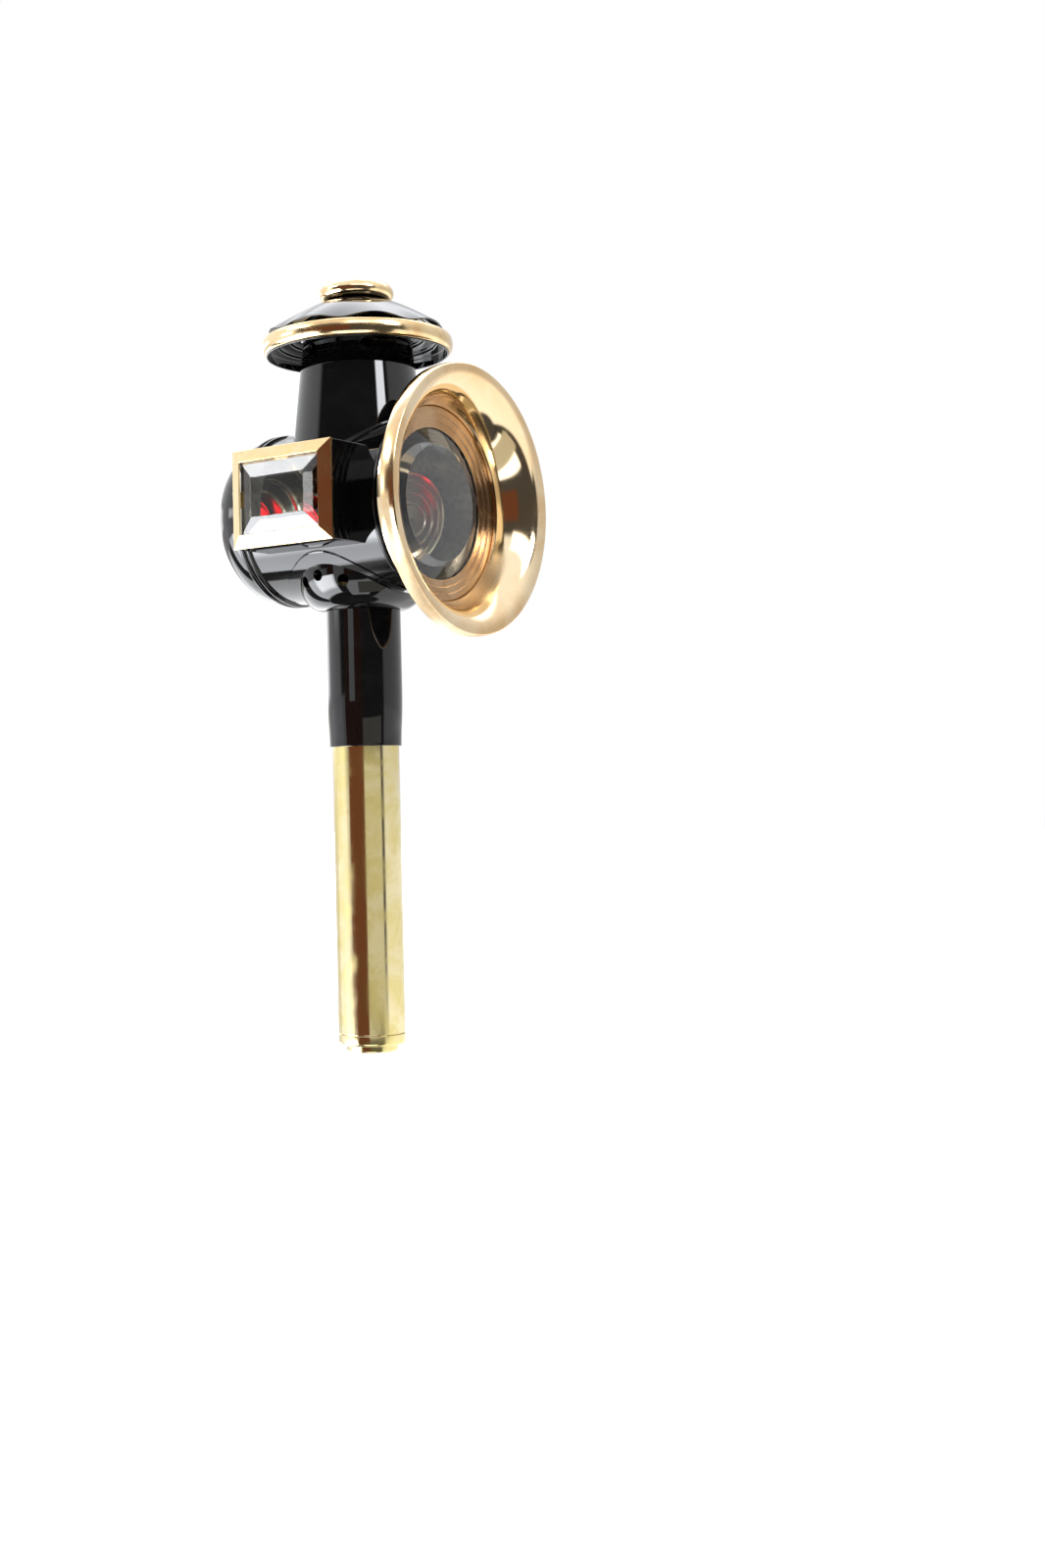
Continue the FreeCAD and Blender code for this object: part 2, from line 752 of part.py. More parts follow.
def cover_solid(drop):
    """The fluted cone of the cover, lowered by drop, built through wavy level sections."""
    wires = []
    points_count = cover_lobes * cover_points_per_lobe
    for share in cover_section_shares:
        height = cover_top + (cover_rim_height - cover_top) * share - drop
        radius = cover_top_radius + (cover_rim_radius - cover_top_radius) * share ** cover_curve_share
        depth = cover_lobe_depth * share * share
        points = []
        for number in range(points_count):
            angle = 2 * math.pi * number / points_count
            wave = math.cos(cover_lobes * (angle - math.radians(cover_lobe_angle)))
            reach = radius + depth * wave
            points.append(FreeCAD.Vector(reach * math.cos(angle), reach * math.sin(angle), height))
        curve = Part.BSplineCurve()
        curve.interpolate(points, PeriodicFlag=True)
        wires.append(Part.Wire(curve.toShape()))
    return Part.makeLoft(wires, True, False)


def make_scalloped_cover():
    rim = post(cover_rim_radius, cover_rim_height - ring_radius, knob_top)
    shell = cover_solid(0.0).common(rim).cut(cover_solid(cover_wall))
    return shell.cut(post(stud_radius + seat_gap, cover_rim_height, knob_top))


def make_knob():
    """A rounded brass knob with a flat crown, drilled from below for its stud."""
    widest = knob_bottom + knob_widest_rise
    hole = stud_radius + seat_gap
    hole_top = knob_bottom + knob_hole_depth
    edges = lines((0, hole_top), (hole, hole_top), (hole, knob_bottom), (knob_foot_radius, knob_bottom))
    edges += quarter_oval((knob_foot_radius, knob_bottom), (knob_radius, knob_bottom), (knob_radius, widest))
    edges += quarter_oval((knob_radius, widest), (knob_radius, knob_top), (knob_crown_radius, knob_top))
    edges += lines((knob_crown_radius, knob_top), (0, knob_top), (0, hole_top))
    return turned(edges)


def make_cover_stud():
    return post(stud_radius, nut_top - nut_height - stud_tail, cover_top + knob_hole_depth)


def make_cover_nut():
    across = nut_flats / math.sqrt(3)
    corners = []
    for number in range(nut_sides + 1):
        angle = math.radians(number * full_turn / nut_sides)
        corners.append(FreeCAD.Vector(across * math.cos(angle), across * math.sin(angle),
                                      nut_top - nut_height))
    nut = Part.Face(Part.makePolygon(corners)).extrude(z_axis * nut_height)
    return nut.cut(post(stud_radius + solder_gap, nut_top - nut_height - overrun, nut_top + overrun))


def make_canopy_bridge():
    """A strap across the chimney with turned-down ears, riveted through its wall."""
    bottom = bridge_top - bridge_ear_height
    inside = post(chimney_radius(bridge_top) - chimney_wall - seat_gap, bottom, bridge_top)
    width = bridge_width / 2
    reach = chimney_foot_radius
    strap = block((-reach, -width, bottom), (reach, width, bridge_top)).common(inside)
    hollow = post(chimney_radius(bridge_top) - chimney_wall - seat_gap - bridge_wall,
                  bottom, bridge_top - bridge_wall)
    strap = strap.cut(hollow)
    strap = strap.cut(post(stud_radius + solder_gap, bottom, bridge_top))
    drill = Part.makeCylinder(rivet_radius + solder_gap, 2 * reach,
                              FreeCAD.Vector(-reach, 0, bridge_rivet_height()), x_axis)
    return turn_about_stem(strap.cut(drill), bridge_angle)


def bridge_rivet_height():
    return bridge_top - bridge_ear_height / 2 - bridge_wall / 2


# Side window

def window_rectangle(x, half_width, half_height):
    """A closed rectangle facing -X about the window's centre."""
    corners = [(-1, -1), (1, -1), (1, 1), (-1, 1), (-1, -1)]
    return Part.makePolygon([FreeCAD.Vector(x, window_centre_y + across * half_width,
                                            window_centre_z + up * half_height)
                             for across, up in corners])


def window_prism(x_low, x_high, half_width, half_height):
    return block((x_low, window_centre_y - half_width, window_centre_z - half_height),
                 (x_high, window_centre_y + half_width, window_centre_z + half_height))


def window_pyramid(x_wide, x_narrow, half_width, half_height, bevel):
    """A bevelled block whose narrow face stands out towards -X."""
    wide = window_rectangle(x_wide, half_width, half_height)
    narrow = window_rectangle(x_narrow, half_width - bevel, half_height - bevel)
    return Part.makeLoft([wide, narrow], True, True)


def make_window_box():
    half_width = window_width / 2
    half_height = window_height / 2
    back = -drum_radius / 2
    tube = window_prism(-box_end, back, half_width, half_height)
    tube = tube.cut(window_prism(-box_end - overrun, back + overrun,
                                 half_width - window_wall, half_height - window_wall))
    tube = tube.cut(drum_block(solder_gap))
    return tube.cut(post(chimney_flange_radius + seat_gap, drum_height, chimney_top))


def make_window_frame():
    half_width = window_width / 2 + frame_proud
    half_height = window_height / 2 + frame_proud
    member = frame_member + frame_proud
    edge = window_prism(-window_face, -box_end, half_width, half_height)
    slope = window_pyramid(-window_face, -window_face - frame_rise, half_width, half_height, member)
    solid = edge.fuse(slope)
    opening_width = half_width - member
    opening_height = half_height - member
    solid = solid.cut(window_prism(-window_face - frame_rise - overrun, -box_end + overrun,
                                   opening_width, opening_height))
    seat = window_face + frame_rise - side_glass_setback
    lap = side_glass_lap + seat_gap
    rebate = window_prism(-seat, -box_end + overrun, opening_width + lap, opening_height + lap)
    return solid.cut(rebate)


def make_side_glass():
    opening_width = window_width / 2 - frame_member
    opening_height = window_height / 2 - frame_member
    front = window_face + frame_rise - side_glass_setback - seat_gap
    plate = window_prism(-front, -front + side_glass_edge, opening_width + side_glass_lap,
                         opening_height + side_glass_lap)
    bevel = window_pyramid(-front, -front - side_glass_rise, opening_width - free_gap,
                           opening_height - free_gap, side_glass_bevel)
    return plate.fuse(bevel)


def make_window_clips():
    """Four bent tabs inside the box that hold the glass against its frame."""
    front = window_face + frame_rise - side_glass_setback - side_glass_edge - 2 * seat_gap
    front = min(front, box_end - seat_gap)
    half_width = window_width / 2 - window_wall - seat_gap
    half_height = window_height / 2 - window_wall - seat_gap
    reach = frame_member + side_glass_lap - window_wall
    half_clip = clip_width / 2
    clips = []
    for side in (-1, 1):
        outer, inner = half_width, half_width - reach
        tab = block((-front, inner, -half_clip), (-front + clip_wall, outer, half_clip))
        leg = block((-front, outer - clip_wall, -half_clip), (-front + clip_leg, outer, half_clip))
        clips.append(tab.fuse(leg).removeSplitter())
        clips[-1].rotate(origin, x_axis, 0 if side > 0 else half_turn)
        outer, inner = half_height, half_height - reach
        tab = block((-front, -half_clip, inner), (-front + clip_wall, half_clip, outer))
        leg = block((-front, -half_clip, outer - clip_wall), (-front + clip_leg, half_clip, outer))
        clips.append(tab.fuse(leg).removeSplitter())
        clips[-1].rotate(origin, x_axis, 0 if side > 0 else half_turn)
    group = Part.makeCompound(clips)
    group.translate(FreeCAD.Vector(0, window_centre_y, window_centre_z))
    return group


# Front door

def make_door_ring():
    """The black carrier that shuts against the drum and holds the glass and the brass."""
    edges = lines((drum_radius, -door_back), (door_sleeve_radius, -door_back),
                  (door_sleeve_radius, -door_back + door_sleeve_depth),
                  (door_inner_radius, -door_back + door_sleeve_depth),
                  (door_inner_radius, -door_front + door_rebate_depth),
                  (door_rebate_radius, -door_front + door_rebate_depth),
                  (door_rebate_radius, -door_front), (drum_radius, -door_front),
                  (drum_radius, door_bead_y - bead_radius))
    edges += bead(door_bead_y)
    edges += lines((drum_radius, door_bead_y + bead_radius), (drum_radius, -door_back))
    return along_drum(turned(edges))


def make_front_glass():
    front = -front_glass_back - front_glass_edge
    return along_drum(turned_polygon((0, -front_glass_back), (front_glass_radius, -front_glass_back),
                                     (front_glass_radius, front), (front_glass_bevel_radius, front),
                                     (front_glass_flat_radius, front - front_glass_rise),
                                     (0, front - front_glass_rise)))


def make_glass_wire():
    """A sprung wire ring, open at one side, behind the glass."""
    centre = -front_glass_back + seat_gap + wire_radius
    section = Part.Face(Part.Wire(Part.makeCircle(wire_radius, at(wire_ring_radius, centre), y_axis)))
    ring = section.revolve(origin, z_axis, full_turn - wire_ring_opening)
    return along_drum(turn_about_stem(ring, quarter_turn + wire_ring_opening / 2))


def make_glass_bezel():
    """Brass ring in front of the glass that rises outwards in three flat steps."""
    wall = bezel_wall
    step = bezel_step_height
    first, second = bezel_step_radii
    front = [(bezel_inner_radius, -bezel_front), (first, -bezel_front), (first, -bezel_front - step),
             (second, -bezel_front - step), (second, -bezel_front - 2 * step),
             (bezel_outer_radius, -bezel_front - 2 * step)]
    back = [(bezel_outer_radius, -bezel_front - 2 * step + wall),
            (second + wall / 2, -bezel_front - 2 * step + wall),
            (second + wall / 2, -bezel_front - step + wall / 2),
            (second + wall / 4, -bezel_front - step + wall - seat_gap),
            (first + wall / 2, -bezel_front - step + wall - seat_gap),
            (first + wall / 2, -bezel_front + wall - seat_gap),
            (bezel_inner_radius, -bezel_front + wall - seat_gap)]
    return along_drum(turned_polygon(*front, *back))


def make_flare():
    """Spun brass trumpet: flange, throat, bell, rolled lip and a turned-back band."""
    wall = flare_wall
    seat = bezel_front + 2 * bezel_step_height - bezel_wall - seat_gap
    throat = flare_throat_radius
    lip_start = flare_radius - flare_lip_round
    band_back = flare_front - flare_band
    edges = lines((flare_flange_radius, -seat), (throat - flare_throat_round, -seat))
    edges += rounded((throat - flare_throat_round, -seat), (throat, -seat),
                     (throat, -seat - flare_throat_round))
    edges += quarter_oval((throat, -seat - flare_throat_round), (throat, -flare_front),
                          (lip_start, -flare_front))
    edges += rounded((lip_start, -flare_front), (flare_radius, -flare_front),
                     (flare_radius, -flare_front + flare_lip_round))
    edges += lines((flare_radius, -flare_front + flare_lip_round),
                   (flare_radius, -band_back - flare_return_round))
    edges += rounded((flare_radius, -band_back - flare_return_round), (flare_radius, -band_back),
                     (flare_radius - flare_return_round, -band_back))
    edges += lines((flare_radius - flare_return_round, -band_back),
                   (flare_radius - flare_return, -band_back))
    edges += lines((flare_radius - flare_return, -band_back),
                   (flare_radius - flare_return, -band_back - wall),
                   (flare_radius - wall, -band_back - wall),
                   (flare_radius - wall, -flare_front + flare_lip_round))
    edges += rounded((flare_radius - wall, -flare_front + flare_lip_round),
                     (flare_radius - wall, -flare_front + wall), (lip_start, -flare_front + wall))
    edges += quarter_oval((lip_start, -flare_front + wall), (throat + wall, -flare_front + wall),
                          (throat + wall, -seat - flare_throat_round))
    edges += lines((throat + wall, -seat - flare_throat_round), (throat + wall, -seat + wall),
                   (flare_flange_radius, -seat + wall), (flare_flange_radius, -seat))
    return along_drum(turned(edges))


# Hinge

def knuckle(low, high):
    """One barrel of the hinge with its pin hole."""
    return post(knuckle_radius, low, high, hinge_x, hinge_y)


def pin_hole():
    half = 2 * knuckle_length
    return post(pin_radius + running_gap, drum_height - half, drum_height + half, hinge_x, hinge_y)


def leaf_strap(profile):
    """A strap bent round the drum from an outline of radii and places along it."""
    face = Part.Face(Part.Wire(lines(*profile, profile[0])))
    strap = face.revolve(origin, z_axis, 2 * leaf_half_angle)
    strap.rotate(origin, z_axis, -leaf_half_angle)
    return along_drum(strap)


def leaf_rivet_places(y):
    """Where the rivets of a leaf stand on the drum's wall."""
    places = []
    for angle in (-leaf_rivet_angle, leaf_rivet_angle):
        turn = math.radians(angle)
        way = FreeCAD.Vector(math.cos(turn), 0, math.sin(turn))
        places.append((FreeCAD.Vector(0, y, drum_height), way))
    return places


def leaf_rivet_y():
    return front_bead_y + bead_radius + leaf_tail / 2 + leaf_wall


def make_hinge_leaf_drum():
    inner = drum_radius + solder_gap
    over_bead = drum_radius + bead_radius + seat_gap
    front = -drum_front
    behind_bead = front_bead_y + bead_radius + seat_gap
    tail = behind_bead + leaf_wall + leaf_tail
    solid = leaf_strap([(over_bead, front), (over_bead, behind_bead), (inner, behind_bead + leaf_wall / 2),
                        (inner, tail), (inner + leaf_wall, tail),
                        (inner + leaf_wall, behind_bead + leaf_wall), (over_bead + leaf_wall, behind_bead),
                        (over_bead + leaf_wall, front)])
    half = knuckle_length / 2
    for low, high in ((-half - knuckle_length, -half), (half, half + knuckle_length)):
        low, high = drum_height + low, drum_height + high
        arm = block((over_bead - leaf_wall, hinge_y + knuckle_radius - leaf_arm, low),
                    (hinge_x, hinge_y + knuckle_radius, high))
        arm = arm.cut(drum_block(bead_radius + seat_gap))
        solid = solid.fuse([arm, knuckle(low, high)])
    for place, way in leaf_rivet_places(leaf_rivet_y()):
        solid = solid.cut(Part.makeCylinder(rivet_radius + solder_gap, flare_radius, place, way))
    return solid.cut(pin_hole()).removeSplitter()


def make_hinge_leaf_door():
    over_bead = drum_radius + bead_radius + seat_gap
    back = -door_back - seat_gap
    front = -door_front + seat_gap
    solid = leaf_strap([(over_bead, back), (over_bead + leaf_wall, back),
                        (over_bead + leaf_wall, front), (over_bead, front)])
    half = knuckle_length / 2 - knuckle_gap
    low, high = drum_height - half, drum_height + half
    arm = block((over_bead - leaf_wall, hinge_y - knuckle_radius, low),
                (hinge_x, hinge_y - knuckle_radius + leaf_arm, high))
    arm = arm.cut(drum_block(bead_radius + seat_gap))
    solid = solid.fuse([arm, knuckle(low, high)])
    return solid.cut(pin_hole()).removeSplitter()


def make_hinge_pin():
    half = knuckle_length * 3 / 2 + seat_gap
    low, high = drum_height - half, drum_height + half
    pin = post(pin_radius, low, high, hinge_x, hinge_y)
    dome = turned(lines((0, pin_head_height), (0, 0), (pin_head_radius, 0))
                  + quarter_oval((pin_head_radius, 0), (pin_head_radius, pin_head_height),
                                 (0, pin_head_height)))
    upper = dome.copy()
    upper.translate(FreeCAD.Vector(hinge_x, hinge_y, high))
    lower = dome.copy()
    lower.rotate(origin, x_axis, half_turn)
    lower.translate(FreeCAD.Vector(hinge_x, hinge_y, low))
    return pin.fuse([upper, lower])


def make_rivets():
    """Rivets of the hinge leaf, the bridge and the side reflector, all fixed to the lamp body."""
    solids = []
    head_seat = drum_radius + 2 * solder_gap + leaf_wall
    for place, way in leaf_rivet_places(leaf_rivet_y()):
        solids.append(rivet(place + way * head_seat, way, leaf_wall))
    for side in (0, half_turn):
        turn = math.radians(bridge_angle + side)
        way = FreeCAD.Vector(math.cos(turn), math.sin(turn), 0)
        height = bridge_rivet_height()
        inner_face = chimney_radius(bridge_top) - chimney_wall - seat_gap - bridge_wall
        place = way * (inner_face - seat_gap) + z_axis * height
        solids.append(rivet(place, -way, bridge_wall))
    return Part.makeCompound(solids)


makers = {
    "stem_tube": make_stem_tube,
    "stem_socket": make_stem_socket,
    "candle_tube": make_candle_tube,
    "end_cap": make_end_cap,
    "candle_nozzle": make_candle_nozzle,
    "candle": make_candle,
    "wick": make_wick,
    "candle_follower": make_candle_follower,
    "candle_spring": make_candle_spring,
    "drum_shell": make_drum_shell,
    "rear_dome": make_rear_dome,
    "red_lens": make_red_lens,
    "rear_bezel": make_rear_bezel,
    "rear_reflector": make_rear_reflector,
    "side_reflector": make_side_reflector,
    "bottom_bowl": make_bottom_bowl,
    "chimney": make_chimney,
    "canopy": make_canopy,
    "canopy_ring": make_canopy_ring,
    "scalloped_cover": make_scalloped_cover,
    "knob": make_knob,
    "cover_stud": make_cover_stud,
    "cover_nut": make_cover_nut,
    "canopy_bridge": make_canopy_bridge,
    "window_box": make_window_box,
    "window_frame": make_window_frame,
    "side_glass": make_side_glass,
    "window_clips": make_window_clips,
    "door_ring": make_door_ring,
    "front_glass": make_front_glass,
    "glass_wire": make_glass_wire,
    "glass_bezel": make_glass_bezel,
    "flare": make_flare,
    "hinge_leaf_drum": make_hinge_leaf_drum,
    "hinge_leaf_door": make_hinge_leaf_door,
    "hinge_pin": make_hinge_pin,
    "rivets": make_rivets,
}

os.makedirs("parts", exist_ok=True)
for name, maker in makers.items():
    piece = maker()
    piece.exportStep("parts/" + name + ".step")
    print(name, len(piece.Solids), "solid", piece.isValid(), "%.0f mm3" % piece.Volume)
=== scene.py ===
import bmesh
import bpy
import math
from mathutils import Matrix, Vector


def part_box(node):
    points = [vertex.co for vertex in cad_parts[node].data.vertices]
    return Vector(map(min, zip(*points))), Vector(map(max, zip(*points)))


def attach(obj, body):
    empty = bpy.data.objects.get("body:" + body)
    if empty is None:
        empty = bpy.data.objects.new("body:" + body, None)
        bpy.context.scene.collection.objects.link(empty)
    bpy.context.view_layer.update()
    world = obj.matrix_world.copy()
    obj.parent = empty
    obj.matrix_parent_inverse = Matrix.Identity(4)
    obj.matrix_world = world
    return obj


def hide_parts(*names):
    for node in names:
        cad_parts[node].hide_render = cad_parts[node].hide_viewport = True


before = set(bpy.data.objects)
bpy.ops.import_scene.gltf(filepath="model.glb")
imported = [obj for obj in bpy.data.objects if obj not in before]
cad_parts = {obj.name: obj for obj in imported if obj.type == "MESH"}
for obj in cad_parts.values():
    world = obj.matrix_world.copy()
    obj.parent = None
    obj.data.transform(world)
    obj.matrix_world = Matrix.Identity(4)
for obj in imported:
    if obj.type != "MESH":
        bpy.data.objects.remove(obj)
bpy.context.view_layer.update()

mm = 0.001
flareLow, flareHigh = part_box("flare")
drumHeight = (flareLow.z + flareHigh.z) / 2 / mm  # the drum, door and lens share this axis
drawRoom = 210.0  # between cap and floor, for the candle tube, which draws 200 mm down
thinEdge, softEdge = 0.2, 0.3  # roundings of sheet edges
alongDrum = Matrix.Translation((0, 0, drumHeight * mm)) @ Matrix.Rotation(math.radians(-90), 4, "X")
acrossDrum = Matrix.Translation((0, 0, drumHeight * mm)) @ Matrix.Rotation(math.radians(90), 4, "Y")
print("frame loaded:", len(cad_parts), "nodes")


# Mesh helpers. Outlines are lists of (radius, height) or (radius, height, rounding) in millimetres.

def ovalPoints(start, corner, end, count=14):  # a quarter oval that heads along the corner's legs
    centre = (start[0] + end[0] - corner[0], start[1] + end[1] - corner[1])
    points = []
    for number in range(count + 1):
        turn = math.pi / 2 * number / count
        points.append(tuple(c + (s - c) * math.cos(turn) + (e - c) * math.sin(turn)
                            for c, s, e in zip(centre, start, end)))
    return points


def curvePoints(start, startHandle, endHandle, end, count=30):  # a cubic curve
    points = []
    for number in range(count + 1):
        t = number / count
        weights = ((1 - t) ** 3, 3 * t * (1 - t) ** 2, 3 * t * t * (1 - t), t ** 3)
        points.append(tuple(sum(w * p[axis] for w, p in zip(weights, (start, startHandle, endHandle, end)))
                            for axis in (0, 1)))
    return points


def arcPoints(centre, radius, fromAngle, toAngle, count=10):
    points = []
    for number in range(count + 1):
        turn = math.radians(fromAngle + (toAngle - fromAngle) * number / count)
        points.append((centre[0] + radius * math.cos(turn), centre[1] + radius * math.sin(turn)))
    return points


def spun(outline, steps=160, roundSteps=4):  # an outline turned about Z
    bm = bmesh.new()
    corners = [bm.verts.new((point[0] * mm, 0, point[1] * mm)) for point in outline]
    pairs = list(zip(corners, corners[1:]))
    if outline[0][0] > 0 or outline[-1][0] > 0:
        pairs.append((corners[-1], corners[0]))
    for pair in pairs:
        bm.edges.new(pair)
    for corner, point in zip(corners, outline):
        if len(point) > 2:
            bmesh.ops.bevel(bm, geom=[corner], offset=point[2] * mm, offset_type="OFFSET", segments=roundSteps,
                            profile=0.5, affect="VERTICES", material=-1)
    bmesh.ops.spin(bm, geom=bm.verts[:] + bm.edges[:], cent=(0, 0, 0), axis=(0, 0, 1), angle=math.tau,
                   steps=steps, use_merge=True)
    bmesh.ops.remove_doubles(bm, verts=bm.verts[:], dist=0.0005 * mm)
    bmesh.ops.recalc_face_normals(bm, faces=bm.faces[:])
    return bm


def laid(bm, place):
    bmesh.ops.transform(bm, matrix=place, verts=bm.verts[:])
    return bm


def roundBar(radius, start, end, segments=96):
    start, end = Vector(start) * mm, Vector(end) * mm
    way = end - start
    place = Matrix.Translation((start + end) / 2) @ way.to_track_quat("Z", "Y").to_matrix().to_4x4()
    bm = bmesh.new()
    bmesh.ops.create_cone(bm, cap_ends=True, segments=segments, radius1=radius * mm,
                          radius2=radius * mm, depth=way.length, matrix=place)
    return bm


def boxBetween(low, high):
    low, high = Vector(low) * mm, Vector(high) * mm
    size = high - low
    bm = bmesh.new()
    bmesh.ops.create_cube(bm, size=1, matrix=Matrix.Translation((low + high) / 2) @ Matrix.Diagonal((*size, 1)))
    return bm


def linked(name, bm):  # the bmesh as an object in the scene
    mesh = bpy.data.meshes.new(name)
    bm.to_mesh(mesh)
    bm.free()
    piece = bpy.data.objects.new(name, mesh)
    bpy.context.scene.collection.objects.link(piece)
    return piece


def carved(base, *cuts):  # cuts are (way, bmesh) pairs, such as ("DIFFERENCE", hole)
    solids = [base] + [cutter for way, cutter in cuts]
    shapes = [linked("carving%d" % number, bm) for number, bm in enumerate(solids)]
    for (way, cutter), shape in zip(cuts, shapes[1:]):
        modifier = shapes[0].modifiers.new("carve", "BOOLEAN")
        modifier.operation = way
        modifier.solver = "EXACT"
        modifier.object = shape
    graph = bpy.context.evaluated_depsgraph_get()
    result = bmesh.new()
    result.from_object(shapes[0], graph)
    for shape in shapes:
        mesh = shape.data
        bpy.data.objects.remove(shape)
        bpy.data.meshes.remove(mesh)
    bmesh.ops.remove_doubles(result, verts=result.verts[:], dist=0.002 * mm)
    return result


def finishPiece(name, bm, materials, body, nodes, place=None, sharp=32, inner=None):  # sharp is in degrees
    if place:
        laid(bm, place)
    for face in bm.faces:
        face.smooth = True
        if inner and inner(face.calc_center_median() / mm, face.normal):  # faces that take the second material
            face.material_index = 1
    piece = linked(name, bm)
    piece.data.set_sharp_from_angle(angle=math.radians(sharp))
    for material in materials:
        piece.data.materials.append(material)
    evenNormals = piece.modifiers.new("evenNormals", "WEIGHTED_NORMAL")
    evenNormals.keep_sharp = True
    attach(piece, body)
    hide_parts(*nodes)
    return piece


# Material helpers

def addNode(tree, kind, inputs=None, **settings):
    node = tree.nodes.new(kind)
    for key, value in settings.items():
        setattr(node, key, value)
    for key, value in (inputs or {}).items():
        if isinstance(value, bpy.types.NodeSocket):
            tree.links.new(value, node.inputs[key])
        else:
            node.inputs[key].default_value = value
    return node


def addMath(tree, operation, first, second=0.0, clamp=False):
    return addNode(tree, "ShaderNodeMath", {0: first, 1: second}, operation=operation, use_clamp=clamp).outputs[0]


def addMix(tree, factor, first, second):
    node = addNode(tree, "ShaderNodeMix", {"Factor": factor, 6: first, 7: second}, data_type="RGBA")
    return node.outputs[2]


def addRange(tree, value, low, high, outLow=0.0, outHigh=1.0):  # a smooth step
    return addNode(tree, "ShaderNodeMapRange", {"Value": value, "From Min": low, "From Max": high, "To Min": outLow,
                                                "To Max": outHigh}, interpolation_type="SMOOTHSTEP").outputs[0]


def addNoise(tree, coords, scale, detail, **more):
    inputs = {"Vector": coords, "Scale": scale, "Detail": detail, **more}
    return addNode(tree, "ShaderNodeTexNoise", inputs).outputs[0]


def addVector(tree, operation, first, second=(0, 0, 0)):
    return addNode(tree, "ShaderNodeVectorMath", {0: first, 1: second}, operation=operation).outputs


def aroundDrum(tree, coords, across):  # the place seen from the drum's centre, and its distance
    flat = addVector(tree, "MULTIPLY", coords, across)[0]
    centred = addVector(tree, "SUBTRACT", flat, (0, 0, drumHeight * mm))[0]
    return centred, addVector(tree, "LENGTH", centred)["Value"]


def newGroup(name, inputs, outputs):  # each entry is (name, socket type, default)
    group = bpy.data.node_groups.new(name, "ShaderNodeTree")
    for label, kind, value in inputs:
        socket = group.interface.new_socket(label, in_out="INPUT", socket_type=kind)
        if value is not None:
            socket.default_value = value
    for label, kind in outputs:
        group.interface.new_socket(label, in_out="OUTPUT", socket_type=kind)
    return group, group.nodes.new("NodeGroupInput").outputs, group.nodes.new("NodeGroupOutput").inputs


def newMaterial(name, sockets):
    material = bpy.data.materials.new(name)
    material.use_nodes = True
    tree = material.node_tree
    shader = tree.nodes["Principled BSDF"]
    for key, value in sockets.items():
        shader.inputs[key].default_value = value
    coords = addNode(tree, "ShaderNodeTexCoord").outputs["Object"]
    return material, tree, shader, coords


def useGroup(tree, group, inputs):
    return addNode(tree, "ShaderNodeGroup", inputs, node_tree=group).outputs


def addBump(tree, shader, height, distance):
    bump = addNode(tree, "ShaderNodeBump", {"Height": height, "Strength": 1.0, "Distance": distance * mm})
    tree.links.new(bump.outputs[0], shader.inputs["Normal"])


# Shared effects

def makePatches():  # cloudy patches of tarnish, handling or haze
    group, given, out = newGroup("patches", [("Vector", "NodeSocketVector", None), ("Scale", "NodeSocketFloat", 40.0),
                                             ("Cover", "NodeSocketFloat", 0.5), ("Blur", "NodeSocketFloat", 0.12)],
                                 [("Mask", "NodeSocketFloat")])
    noise = addNoise(group, given["Vector"], given["Scale"], 5.0, Roughness=0.62, Distortion=0.6)
    start = addMath(group, "SUBTRACT", 1.0, given["Cover"])
    low = addMath(group, "SUBTRACT", start, given["Blur"])
    high = addMath(group, "ADD", start, given["Blur"])
    group.links.new(addRange(group, noise, low, high), out["Mask"])
    return group


def makeScratches():  # fine polishing lines, stretched along one axis by the Stretch vector
    group, given, out = newGroup("scratches", [("Vector", "NodeSocketVector", None),
                                               ("Stretch", "NodeSocketVector", (1.0, 1.0, 1.0)),
                                               ("Scale", "NodeSocketFloat", 900.0)],
                                 [("Height", "NodeSocketFloat"), ("Mask", "NodeSocketFloat")])
    pulled = addVector(group, "MULTIPLY", given["Vector"], given["Stretch"])[0]
    noise = addNoise(group, pulled, given["Scale"], 3.0, Roughness=0.7)
    group.links.new(noise, out["Height"])
    group.links.new(addRange(group, noise, 0.55, 0.72), out["Mask"])
    return group


def makeSpecks():  # small round specks of dust or pitting
    group, given, out = newGroup("specks", [("Vector", "NodeSocketVector", None), ("Scale", "NodeSocketFloat", 300.0),
                                            ("Size", "NodeSocketFloat", 0.12), ("Share", "NodeSocketFloat", 0.2)],
                                 [("Mask", "NodeSocketFloat")])
    cells = addNode(group, "ShaderNodeTexVoronoi", {"Vector": given["Vector"], "Scale": given["Scale"]})
    near = addRange(group, cells.outputs["Distance"], given["Size"], 0.0)
    pick = addNode(group, "ShaderNodeSeparateColor", {"Color": cells.outputs["Color"]}).outputs[0]
    chosen = addMath(group, "LESS_THAN", pick, given["Share"])
    group.links.new(addMath(group, "MULTIPLY", near, chosen), out["Mask"])
    return group


patches = makePatches()
scratches = makeScratches()
specks = makeSpecks()


# Materials

